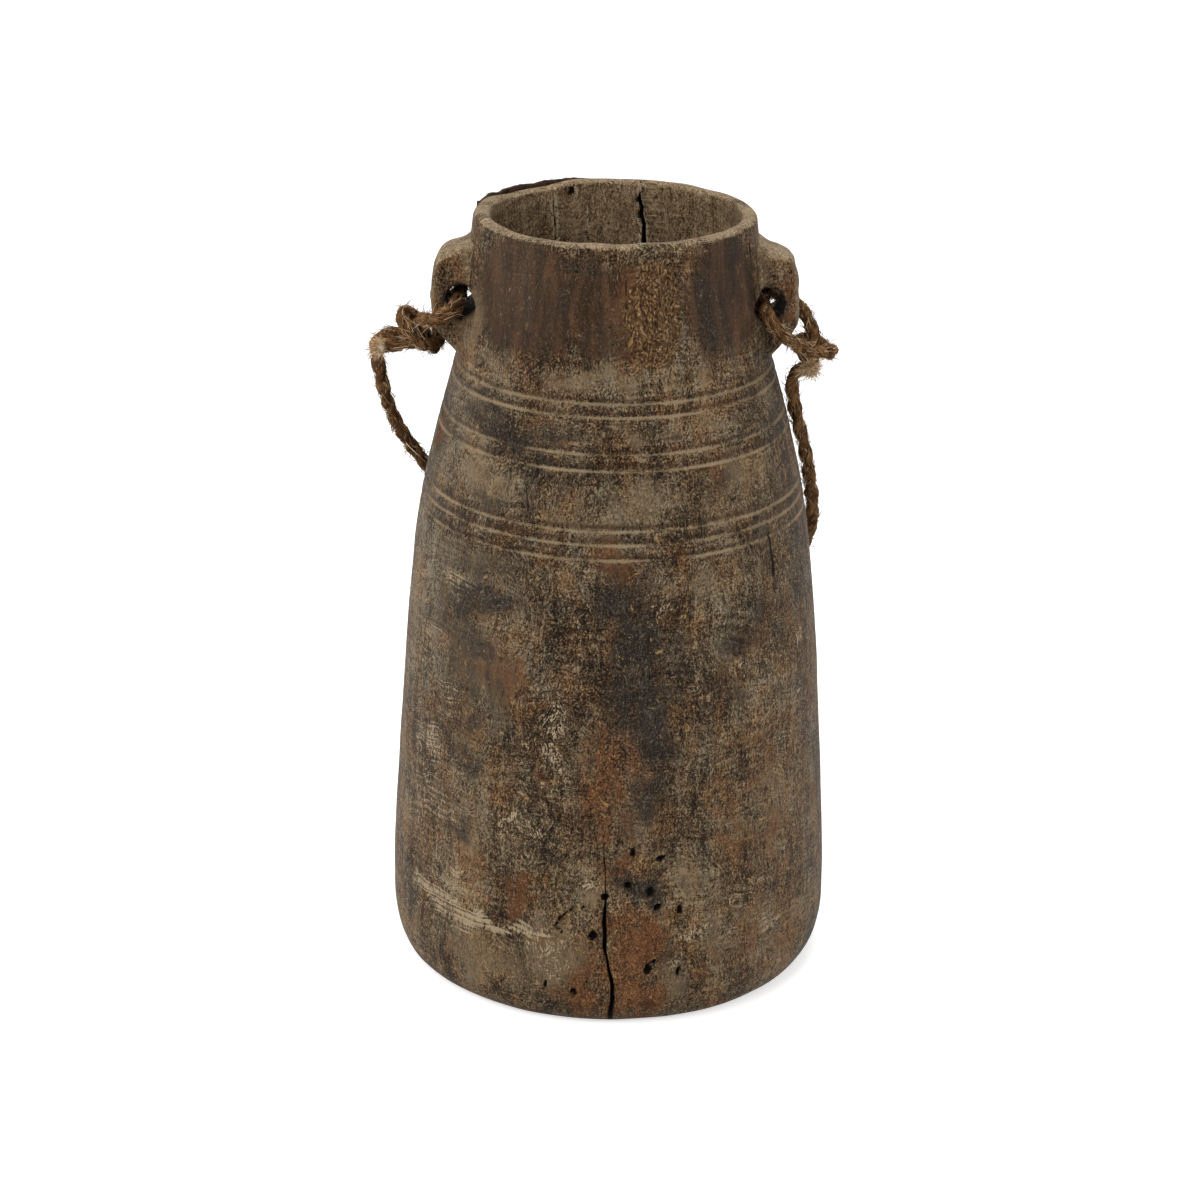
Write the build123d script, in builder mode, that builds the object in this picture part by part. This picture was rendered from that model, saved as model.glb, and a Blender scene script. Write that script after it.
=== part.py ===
"""A wooden milk pot turned and hollowed from one block, with a rope handle.

Millimetres, +Z up. The origin is the centre of the foot, the front is -Y, and
the two pierced lugs stand on the X axis. The iron strip that mends the rim is
at the back left, and one rope is tied to both lugs and hangs behind the pot.
"""
import os
from math import cos, pi, radians, sin, tan

from build123d import *

# Turned body: radius and height of each point that the outline passes through
FOOT_RADIUS = 91.0
HEEL_RADIUS = 103.2
HEEL_HEIGHT = 27.0
BELLY_RADIUS = 99.1
BELLY_HEIGHT = 116.0
FLANK_RADIUS = 92.8
FLANK_HEIGHT = 194.0
SHOULDER_RADIUS = 83.0
SHOULDER_HEIGHT = 252.0
NECK_ROOT_RADIUS = 72.2
NECK_ROOT_HEIGHT = 294.0
RIM_RADIUS = 63.6
RIM_HEIGHT = 360.0
SHOULDER_LEAN = 0.27
LIP_ROUND = 2.8

# Hollow
WALL = 10.5
FLOOR = 24.0
FLOOR_ROUND = 22.0
MOUTH_RADIUS = 56.6
BORE_DEPTH = 62.0

# Turned grooves: heights of the two pairs and the group of three
GROOVE_HEIGHTS = (291.8, 286.0, 270.3, 263.2, 237.3, 231.3, 224.6)
GROOVE_WIDTH = 2.6
GROOVE_DEPTH = 0.9

# Lugs, carved from the same block, and the eye drilled through each from front to back
LUG_REACH = 83.2
LUG_DEPTH = 28.0
LUG_BELOW_RIM = 12.0
LUG_TOP = RIM_HEIGHT - LUG_BELOW_RIM
LUG_HEIGHT = 65.0
LUG_SHOULDER_INSET = 3.2
LUG_SHOULDER_DROP = 6.2
LUG_CHEEK_DROP = 18.0
LUG_CHIN_DROP = 39.5
LUG_CORNER = 9.0
LUG_SOFTNESS = 4.5
EYE_RADIUS = 7.0
EYE_FROM_AXIS = 69.0
EYE_BELOW_TOP = 27.0
EYE_HEIGHT = LUG_TOP - EYE_BELOW_TOP

# Iron strip nailed over the split rim, and its nails
STRIP_THICKNESS = 1.2
STRIP_SEAT_GAP = 0.25
STRIP_HEIGHT = 19.0
STRIP_OUT = STRIP_SEAT_GAP + STRIP_THICKNESS
STRIP_ABOVE_RIM = 0.6
STRIP_START = 88.0
STRIP_ARC = 77.0
NAIL_ANGLES = (92.5, 115.0, 150.0)
NAIL_BELOW_RIM = 7.0
NAIL_SHANK_RADIUS = 1.1
NAIL_LENGTH = 7.0
NAIL_HEAD_RADIUS = 2.6
NAIL_HEAD_HEIGHT = 1.1
NAIL_HEAD_CHAMFER = 0.5
NAIL_CLEARANCE = 0.02

# Rope, and the distance between the middles of two turns that lie side by side
ROPE_DIAMETER = 5.6
ROPE_GAP = 0.45
ROPE_LAY = ROPE_DIAMETER + ROPE_GAP

# The handle swings about the line through these two points, where it leaves the knots
LEFT_EXIT = Vector(-99.5, 6.0, 299.5)
RIGHT_EXIT = Vector(86.3, 6.0, 284.4)
SWING_AXIS = (RIGHT_EXIT - LEFT_EXIT).normalized()
FRONT = Vector(0, -1, 0)
DOWN = Vector(0, 0, -1)

# The half hitches round the standing parts: angle from the front of the knot in degrees,
# distance from the standing part and place along it, both in rope lays
LEFT_HITCH = (
    (128, 2.18, -1.00),
    (84, 2.20, -0.92),
    (45, 2.22, -0.74),
    (14, 2.22, -0.50),
    (-14, 2.18, -0.28),
    (-46, 1.86, -0.16),
    (-90, 1.40, -0.18),
    (-132, 1.20, -0.25),
    (-175, 1.15, -0.32),
    (-220, 1.15, -0.40),
    (-262, 1.15, -0.36),
    (-303, 1.15, -0.12),
    (-326, 1.16, 0.38),
)
RIGHT_HITCH = (
    (-14, 2.20, -0.75),
    (20, 2.16, -0.48),
    (55, 1.76, -0.20),
    (97, 1.26, -0.05),
    (138, 1.16, -0.15),
    (180, 1.15, -0.45),
    (225, 1.15, -0.75),
    (270, 1.15, -0.75),
    (312, 1.15, -0.38),
    (342, 1.22, 0.22),
    (354, 1.75, 0.62),
    (360, 2.50, 0.72),
)

os.makedirs("parts", exist_ok=True)


def neck_radius(height):
    """Radius of the straight neck at a height, on past the rounded lip."""
    share = (height - NECK_ROOT_HEIGHT) / (RIM_HEIGHT - NECK_ROOT_HEIGHT)
    return NECK_ROOT_RADIUS + share * (RIM_RADIUS - NECK_ROOT_RADIUS)


def outline_radius(curve, height):
    """Radius of an outline curve, drawn with the height as Y, found by halving."""
    low, high = 0.0, 1.0
    for _ in range(40):
        middle = (low + high) / 2
        if curve.position_at(middle).Y < height:
            low = middle
        else:
            high = middle
    return curve.position_at(low).X


def strip_plane(angle, height, out):
    """Plane on the neck's slope at an angle and height, facing straight out of the wood."""
    lean = (NECK_ROOT_RADIUS - RIM_RADIUS) / (RIM_HEIGHT - NECK_ROOT_HEIGHT)
    spoke = Vector(cos(radians(angle)), sin(radians(angle)), 0)
    outward = (spoke + Vector(0, 0, lean)).normalized()
    seat = spoke * neck_radius(height) + Vector(0, 0, height)
    return Plane(seat + outward * out, x_dir=Vector(0, 0, 1).cross(spoke), z_dir=outward)


def route_radii(points):
    """Largest arc that the two runs at each corner of a rope's route leave room for."""
    runs = [(b - a).length for a, b in zip(points, points[1:])]
    shares = [0.9] + [0.45] * (len(runs) - 2) + [0.9]
    room = [run * share for run, share in zip(runs, shares)]
    radii = []
    for i in range(1, len(points) - 1):
        turn = (points[i] - points[i - 1]).get_angle(points[i + 1] - points[i])
        radii.append(min(room[i - 1], room[i]) / tan(radians(turn) / 2))
    return radii


def least_gap(line, diameter):
    """Least clear distance between stretches of one tube that lie apart along it."""
    count = int(line.length / 0.8)
    places = [line.position_at(i / count) for i in range(count + 1)]
    apart = int(1.6 * pi * diameter / 2 / 0.8) + 1
    spans = [
        (places[i] - places[j]).length
        for i in range(len(places))
        for j in range(i + apart, len(places))
    ]
    return min(spans) - diameter


def hitch_points(middle, tail_way, front_way, steps):
    """Points of a half hitch about the standing part that runs along tail_way."""
    side_way = front_way.cross(tail_way)
    points = []
    for degrees, out, along in steps:
        turn = radians(degrees)
        spoke = front_way * cos(turn) + side_way * sin(turn)
        points.append(middle + spoke * (out * ROPE_LAY) + tail_way * (along * ROPE_LAY))
    return points


def report_route(name, line, radii, solid):
    """Prints what shows that a tube is sound: its radii, volume and gap to itself."""
    expected = pi * ROPE_DIAMETER**2 / 4 * line.length
    print(f"{name}: length {line.length:.0f} mm, radii {[round(r, 1) for r in radii]}")
    print(f"{name}: volume {solid.volume:.0f} of {expected:.0f} mm3")
    print(f"{name}: least gap to itself {least_gap(line, ROPE_DIAMETER):.2f} mm")


# Lug: the outline as seen from the front, thickened from front to back and worn soft
with BuildPart() as lug:
    with BuildSketch(Plane.XZ) as lug_outline:
        with BuildLine():
            lug_root = (MOUTH_RADIUS + RIM_RADIUS) / 2
            Polyline(
                (lug_root, LUG_TOP),
                (LUG_REACH - LUG_SHOULDER_INSET, LUG_TOP - LUG_SHOULDER_DROP),
                (LUG_REACH, LUG_TOP - LUG_CHEEK_DROP),
                (LUG_REACH, LUG_TOP - LUG_CHIN_DROP),
                (lug_root, LUG_TOP - LUG_HEIGHT),
                close=True,
            )
        make_face()
        fillet(lug_outline.vertices().filter_by(lambda corner: corner.X > lug_root + 1), LUG_CORNER)
    extrude(amount=LUG_DEPTH / 2, both=True)
    rims = lug.faces().filter_by(Axis.Y).edges()
    fillet(rims.filter_by(lambda edge: edge.center().X > lug_root + 1), LUG_SOFTNESS)

# Vessel: one block of wood, turned, hollowed and carved
with BuildPart() as vessel:
    with BuildSketch(Plane.XZ) as outside:
        with BuildLine():
            foot = Line((0, 0), (FOOT_RADIUS, 0))
            heel = EllipticalCenterArc(
                (FOOT_RADIUS, HEEL_HEIGHT),
                HEEL_RADIUS - FOOT_RADIUS,
                HEEL_HEIGHT,
                start_angle=270,
                arc_size=90,
            )
            flank = Spline(
                heel @ 1,
                (BELLY_RADIUS, BELLY_HEIGHT),
                (FLANK_RADIUS, FLANK_HEIGHT),
                (SHOULDER_RADIUS, SHOULDER_HEIGHT),
                (NECK_ROOT_RADIUS, NECK_ROOT_HEIGHT),
                tangents=((0, 1), (-SHOULDER_LEAN, 1)),
            )
            neck = Line(flank @ 1, (RIM_RADIUS, RIM_HEIGHT))
            Polyline(neck @ 1, (0, RIM_HEIGHT), (0, 0))
        make_face()
    revolve(axis=Axis.Z)

    # Hollow: a straight bore down the neck that widens below the shoulder
    with BuildSketch(Plane.XZ) as hollow:
        with BuildLine():
            bore_foot = RIM_HEIGHT - BORE_DEPTH
            floor_line = Line((0, FLOOR), (HEEL_RADIUS - WALL - FLOOR_ROUND, FLOOR))
            corner = JernArc(floor_line @ 1, floor_line % 1, FLOOR_ROUND, 90)
            wall_line = Spline(
                corner @ 1,
                (BELLY_RADIUS - WALL, BELLY_HEIGHT),
                (FLANK_RADIUS - WALL, FLANK_HEIGHT),
                (SHOULDER_RADIUS - WALL, SHOULDER_HEIGHT),
                (MOUTH_RADIUS, bore_foot),
                tangents=((0, 1), (0, 1)),
            )
            Polyline(wall_line @ 1, (MOUTH_RADIUS, RIM_HEIGHT), (0, RIM_HEIGHT), (0, FLOOR))
        make_face()
    revolve(axis=Axis.Z, mode=Mode.SUBTRACT)
    fillet(vessel.edges().filter_by(GeomType.CIRCLE).group_by(Axis.Z)[-1], LIP_ROUND)

    # Both lugs grow out of the neck
    add(lug.part)
    add(mirror(lug.part, about=Plane.YZ, mode=Mode.PRIVATE))

    # Grooves: one V for each, cut to the same depth wherever the wall stands
    with BuildSketch(Plane.XZ) as grooves:
        for height in GROOVE_HEIGHTS:
            radius = outline_radius(flank, height)
            with BuildLine():
                Polyline(
                    (radius - GROOVE_DEPTH, height),
                    (radius + GROOVE_DEPTH, height - GROOVE_WIDTH),
                    (radius + GROOVE_DEPTH, height + GROOVE_WIDTH),
                    close=True,
                )
            make_face()
    revolve(axis=Axis.Z, mode=Mode.SUBTRACT)

    # Eyes: drilled from front to back, grazing the neck
    with BuildSketch(Plane.XZ) as eyes:
        with Locations((-EYE_FROM_AXIS, EYE_HEIGHT), (EYE_FROM_AXIS, EYE_HEIGHT)):
            Circle(EYE_RADIUS)
    extrude(amount=HEEL_RADIUS, both=True, mode=Mode.SUBTRACT)

    # Holes that the nails of the strip were driven into
    for angle in NAIL_ANGLES:
        with BuildSketch(strip_plane(angle, RIM_HEIGHT - NAIL_BELOW_RIM, 0)):
            Circle(NAIL_SHANK_RADIUS + NAIL_CLEARANCE)
        extrude(amount=STRIP_OUT - NAIL_LENGTH - NAIL_CLEARANCE, mode=Mode.SUBTRACT)

# Iron strip, bent round the back left of the neck
with BuildPart() as rim_strip:
    with BuildSketch(Plane.XZ.rotated((0, 0, STRIP_START))) as strip_section:
        with BuildLine():
            strip_top = RIM_HEIGHT + STRIP_ABOVE_RIM
            strip_foot = strip_top - STRIP_HEIGHT
            foot_radius = neck_radius(strip_foot) + STRIP_SEAT_GAP
            top_radius = neck_radius(strip_top) + STRIP_SEAT_GAP
            Polyline(
                (foot_radius, strip_foot),
                (foot_radius + STRIP_THICKNESS, strip_foot),
                (top_radius + STRIP_THICKNESS, strip_top),
                (top_radius, strip_top),
                close=True,
            )
        make_face()
    revolve(axis=Axis.Z, revolution_arc=STRIP_ARC)
    for angle in NAIL_ANGLES:
        with BuildSketch(strip_plane(angle, RIM_HEIGHT - NAIL_BELOW_RIM, -STRIP_THICKNESS)):
            Circle(NAIL_SHANK_RADIUS + NAIL_CLEARANCE)
        extrude(amount=3 * STRIP_OUT, mode=Mode.SUBTRACT)

# Nails of the strip: heads outside, shanks in the wood
with BuildPart() as rim_strip_nails:
    for angle in NAIL_ANGLES:
        seat = strip_plane(angle, RIM_HEIGHT - NAIL_BELOW_RIM, STRIP_OUT)
        with BuildSketch(seat):
            Circle(NAIL_HEAD_RADIUS)
        extrude(amount=NAIL_HEAD_HEIGHT)
        crown = rim_strip_nails.faces(Select.LAST).sort_by(Axis(seat.origin, seat.z_dir))[-1]
        chamfer(crown.edges(), NAIL_HEAD_CHAMFER)
        with BuildSketch(seat):
            Circle(NAIL_SHANK_RADIUS)
        extrude(amount=-NAIL_LENGTH)

# Left end of the rope: from the swing axis up through the knot and the front of the eye,
# out behind the lug, under the standing part and once round it
left_low = LEFT_EXIT + SWING_AXIS * 2.2
left_high = Vector(-87.0, 4.8, 306.2)
left_knot = left_low + (left_high - left_low) * 0.46
left_tail = (left_low - left_high).normalized()
left_front = (FRONT - left_tail * FRONT.dot(left_tail)).normalized()
left_route = [
    LEFT_EXIT,
    left_low,
    left_high,
    Vector(-86.9, -4.0, 309.4),
    Vector(-86.4, -12.4, 311.2),
    Vector(-81.6, -18.9, 313.6),
    Vector(-74.6, -20.4, 317.6),
    Vector(-71.0, -12.0, 320.4),
    Vector(-71.0, 0.0, 320.8),
    Vector(-71.2, 13.0, 320.2),
    Vector(-73.4, 20.2, 315.6),
    Vector(-77.4, 21.8, 307.5),
    Vector(-81.8, 19.5, 299.6),
    *hitch_points(left_knot, left_tail, left_front, LEFT_HITCH),
    Vector(-98.8, -0.4, 296.4),
    Vector(-104.0, 0.4, 295.6),
    Vector(-108.8, 1.0, 294.8),
]
with BuildPart() as left_hitch:
    with BuildLine() as left_line:
        FilletPolyline(*left_route, radius=route_radii(left_route))
    left_path = left_line.wire()
    with BuildSketch(Plane(left_path @ 0, z_dir=left_path % 0)):
        Circle(ROPE_DIAMETER / 2)
    sweep(path=left_path)

# Right end of the rope: from the swing axis up through the knot and behind the lug,
# out of the front of the eye, across the standing part and once round it
right_knot = Vector(91.3, 6.0, 293.6)
right_front = Vector(-0.12, -1, 0).normalized()
right_route = [
    RIGHT_EXIT,
    RIGHT_EXIT + SWING_AXIS * 2.2,
    Vector(91.3, 6.0, 287.6),
    Vector(91.3, 6.0, 300.0),
    Vector(90.0, 8.4, 305.0),
    Vector(86.8, 14.2, 310.0),
    Vector(81.0, 20.3, 313.6),
    Vector(74.5, 20.4, 316.6),
    Vector(70.8, 13.0, 319.0),
    Vector(70.8, 0.0, 319.2),
    Vector(70.4, -13.0, 318.8),
    Vector(71.8, -20.4, 315.0),
    Vector(75.8, -22.0, 308.8),
    Vector(81.6, -17.0, 303.0),
    *hitch_points(right_knot, DOWN, right_front, RIGHT_HITCH),
]
with BuildPart() as right_hitch:
    with BuildLine() as right_line:
        FilletPolyline(*right_route, radius=route_radii(right_route))
    right_path = right_line.wire()
    with BuildSketch(Plane(right_path @ 0, z_dir=right_path % 0)):
        Circle(ROPE_DIAMETER / 2)
    sweep(path=right_path)

# The stretch between the knots, which hangs down behind the pot and rests on its back
rope_route = [
    LEFT_EXIT,
    LEFT_EXIT - SWING_AXIS * 6.5,
    Vector(-110.0, 7.0, 293.8),
    Vector(-108.4, 10.0, 282.0),
    Vector(-106.2, 17.0, 265.0),
    Vector(-100.5, 29.0, 245.5),
    Vector(-90.5, 42.5, 226.0),
    Vector(-78.0, 59.5, 203.0),
    Vector(-61.3, 79.7, 176.0),
    Vector(-37.0, 95.2, 152.0),
    Vector(-5.8, 102.6, 138.0),
    Vector(27.2, 99.6, 136.0),
    Vector(56.3, 85.4, 145.0),
    Vector(78.0, 65.3, 162.0),
    Vector(91.5, 43.5, 183.0),
    Vector(95.2, 27.0, 205.0),
    Vector(92.3, 16.5, 228.0),
    Vector(88.3, 10.0, 248.0),
    Vector(83.6, 7.0, 264.0),
    Vector(81.2, 6.2, 280.0),
    RIGHT_EXIT - SWING_AXIS * 2.3,
    RIGHT_EXIT,
]
with BuildPart() as carrying_rope:
    with BuildLine() as rope_line:
        FilletPolyline(*rope_route, radius=route_radii(rope_route))
    rope_path = rope_line.wire()
    with BuildSketch(Plane(rope_path @ 0, z_dir=rope_path % 0)):
        Circle(ROPE_DIAMETER / 2)
    sweep(path=rope_path)

report_route("left_hitch", left_path, route_radii(left_route), left_hitch.part)
report_route("right_hitch", right_path, route_radii(right_route), right_hitch.part)
report_route("carrying_rope", rope_path, route_radii(rope_route), carrying_rope.part)

vessel.part.label = "vessel"
rim_strip.part.label = "rim_strip"
rim_strip_nails.part.label = "rim_strip_nails"
left_hitch.part.label = "left_hitch"
right_hitch.part.label = "right_hitch"
carrying_rope.part.label = "carrying_rope"
export_step(vessel.part, "parts/vessel.step")
export_step(rim_strip.part, "parts/rim_strip.step")
export_step(rim_strip_nails.part, "parts/rim_strip_nails.step")
export_step(left_hitch.part, "parts/left_hitch.step")
export_step(right_hitch.part, "parts/right_hitch.step")
export_step(carrying_rope.part, "parts/carrying_rope.step")
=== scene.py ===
"""Dresses a wooden milk pot: worn turned wood, carved lugs, a rusty rim strip and a hairy rope.

Everything is in metres in the part's own frame: the origin is the centre of the foot, +Z is up,
the front is -Y and the lugs stand on the X axis. Places on the turned wood are given as an angle
from the front, positive towards +X, and a height.
"""

import logging
from dataclasses import dataclass, field
from enum import Enum

import bpy
import numpy as np
from mathutils import Matrix
from numpy.typing import NDArray


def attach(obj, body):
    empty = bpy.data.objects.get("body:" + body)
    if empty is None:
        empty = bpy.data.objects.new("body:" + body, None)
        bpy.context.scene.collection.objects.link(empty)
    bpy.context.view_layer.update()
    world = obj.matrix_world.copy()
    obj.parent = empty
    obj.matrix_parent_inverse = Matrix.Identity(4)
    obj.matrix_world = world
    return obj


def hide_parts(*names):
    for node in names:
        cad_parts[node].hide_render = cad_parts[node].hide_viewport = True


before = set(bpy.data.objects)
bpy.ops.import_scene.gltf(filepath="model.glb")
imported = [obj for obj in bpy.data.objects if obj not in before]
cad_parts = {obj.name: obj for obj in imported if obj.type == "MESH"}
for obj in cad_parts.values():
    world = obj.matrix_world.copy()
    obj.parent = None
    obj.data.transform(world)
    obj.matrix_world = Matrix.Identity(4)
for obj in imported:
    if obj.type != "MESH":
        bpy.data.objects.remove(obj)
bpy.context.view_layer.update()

Array = NDArray[np.float64]
Faces = NDArray[np.int64]
Mask = NDArray[np.bool_]
Socket = bpy.types.NodeSocket
Triple = tuple[float, float, float]
Colour = Triple
MM = 0.001
MARK_LAYERS = ("marks_a", "marks_b", "marks_c")
EYE_FROM_AXIS = 69.0
EYE_HEIGHT = 321.0
EYE_RADIUS = 7.0
LOG = logging.getLogger("milk_pot")


class Body(Enum):
    """The two bodies that pieces ride on."""

    POT = "pot"
    HANDLE = "handle"


class Side(Enum):
    """Side of the pot that a lug stands on, as the sign of X."""

    LEFT = -1
    RIGHT = 1


class Stain(Enum):
    """Kinds of mark on the wood: the attribute and the channel that carry each."""

    # Soot; on the lugs also painted shade in and round the eyes.
    SOOT = ("marks_a", 0)
    RUST = ("marks_a", 1)
    PALE = ("marks_a", 2)
    RED = ("marks_a", 3)
    DUST = ("marks_b", 0)
    # Nail holes and splits; on the lugs also painted shade in the eyes.
    PIT = ("marks_b", 1)
    BAND = ("marks_b", 2)
    INSIDE = ("marks_b", 3)
    # Worn wood; on the lugs also painted top light on the up-facing tops.
    WEAR = ("marks_c", 0)
    TURNED = ("marks_c", 1)
    OLIVE = ("marks_c", 2)
    # Handled, polished wood, and painted shade above the grooves.
    DARK = ("marks_c", 3)


# Arrays and meshes


def ease(value: Array, low: float, high: float) -> Array:
    """Smooth step: 0 below low, 1 above high, 3t^2 - 2t^3 between; low may be above high.

    Args:
        value: Numbers to step.
        low: Where the step starts.
        high: Where the step ends.

    Returns:
        Numbers from 0 to 1.
    """
    t = np.clip((value - low) / (high - low), 0.0, 1.0)
    return t * t * (3.0 - 2.0 * t)


def ripple(points: Array, size: float, seed: int, waves: int = 18) -> Array:
    """Gentle random relief: the mean of sine waves in random directions about one size long.

    Args:
        points: Places, with three numbers in the last axis.
        size: Usual distance from one crest to the next.
        seed: Seed of the directions and phases.
        waves: How many waves are added.

    Returns:
        Numbers of about -1 to 1, one for each place.
    """
    rng = np.random.default_rng(seed)
    way = rng.normal(size=(waves, 3))
    way /= np.linalg.norm(way, axis=1, keepdims=True)
    way *= 2 * np.pi / size * rng.uniform(0.6, 1.7, (waves, 1))
    phase = rng.uniform(0, 2 * np.pi, waves)
    return np.sin(points @ way.T + phase).sum(axis=-1) / np.sqrt(waves) * 0.9


def spread(low: float, high: float, zones: list[Triple], pitch: float) -> Array:
    """Places from low to high whose spacing is a pitch, or a finer one inside each zone.

    The count is the running sum of one over the spacing, cut at whole numbers.

    Args:
        low: First place.
        high: Last place.
        zones: Start, end and spacing of each finer zone.
        pitch: Spacing elsewhere.

    Returns:
        The places, rising.
    """
    fine = np.linspace(low, high, 24001)
    density = np.full(fine.shape, 1.0 / pitch)
    for start, end, step in zones:
        density = np.where((fine >= start) & (fine <= end), np.maximum(density, 1.0 / step), density)
    total = np.concatenate([[0.0], np.cumsum((density[1:] + density[:-1]) / 2 * np.diff(fine))])
    return np.interp(np.linspace(0.0, total[-1], int(round(total[-1])) + 1), total, fine)


def sheet_faces(rows: int, columns: int, start: int = 0) -> Faces:
    """Quads of a tube of vertices numbered ring by ring, facing out where the rings run anticlockwise.

    Args:
        rows: Rings of vertices.
        columns: Vertices in a ring, of which the last joins the first.
        start: Number of the tube's first vertex.

    Returns:
        Four vertex numbers for each quad.
    """
    i = np.arange(rows - 1)[:, None]
    j = np.arange(columns)[None, :]
    k = (j + 1) % columns
    quad = np.stack([i * columns + j, i * columns + k, (i + 1) * columns + k, (i + 1) * columns + j], -1)
    return quad.reshape(-1, 4) + start


def make_object(name: str, places: Array, quads: Faces, fans: Faces | None = None) -> bpy.types.Object:
    """Makes a smooth mesh object at the origin from whole arrays.

    Args:
        name: Name of the object and its mesh.
        places: Vertex places.
        quads: Four vertex numbers for each quad.
        fans: Three vertex numbers for each triangle, if there are any.

    Returns:
        The object, linked to the scene.
    """
    mesh = bpy.data.meshes.new(name)
    fans = np.zeros((0, 3), int) if fans is None else fans
    corners = np.concatenate([quads.ravel(), fans.ravel()]).astype(np.int32)
    sizes = np.concatenate([np.full(len(quads), 4), np.full(len(fans), 3)]).astype(np.int32)
    starts = np.concatenate([[0], np.cumsum(sizes)[:-1]]).astype(np.int32)
    mesh.vertices.add(len(places))
    mesh.vertices.foreach_set("co", np.ascontiguousarray(places, dtype=np.float32).ravel())
    mesh.loops.add(len(corners))
    mesh.loops.foreach_set("vertex_index", corners)
    mesh.polygons.add(len(sizes))
    mesh.polygons.foreach_set("loop_start", starts)
    mesh.update(calc_edges=True)
    mesh.validate()
    mesh.polygons.foreach_set("use_smooth", np.ones(len(mesh.polygons), bool))
    piece = bpy.data.objects.new(name, mesh)
    bpy.context.collection.objects.link(piece)
    return piece


def set_colour(piece: bpy.types.Object, name: str, values: Array) -> None:
    """Writes four numbers for each vertex into a colour attribute.

    Args:
        piece: Mesh object.
        name: Name of the attribute.
        values: Four numbers for each vertex.
    """
    layer = piece.data.attributes.new(name, "FLOAT_COLOR", "POINT")
    layer.data.foreach_set("color", np.ascontiguousarray(values, dtype=np.float32).ravel())


def seat(piece: bpy.types.Object, body: Body, slot: str, finish: bpy.types.Material, *nodes: str) -> None:
    """Gives a piece its material and body, and hides the CAD nodes that it stands for.

    Args:
        piece: Finished object.
        body: Body that it rides on.
        slot: Not used.
        finish: Its material.
        nodes: CAD nodes that it replaces.
    """
    piece.data.materials.append(finish)
    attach(piece, body.value)
    if nodes:
        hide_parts(*nodes)
    LOG.info("%s: %d vertices on %s", piece.name, len(piece.data.vertices), body.value)


# Materials


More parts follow.
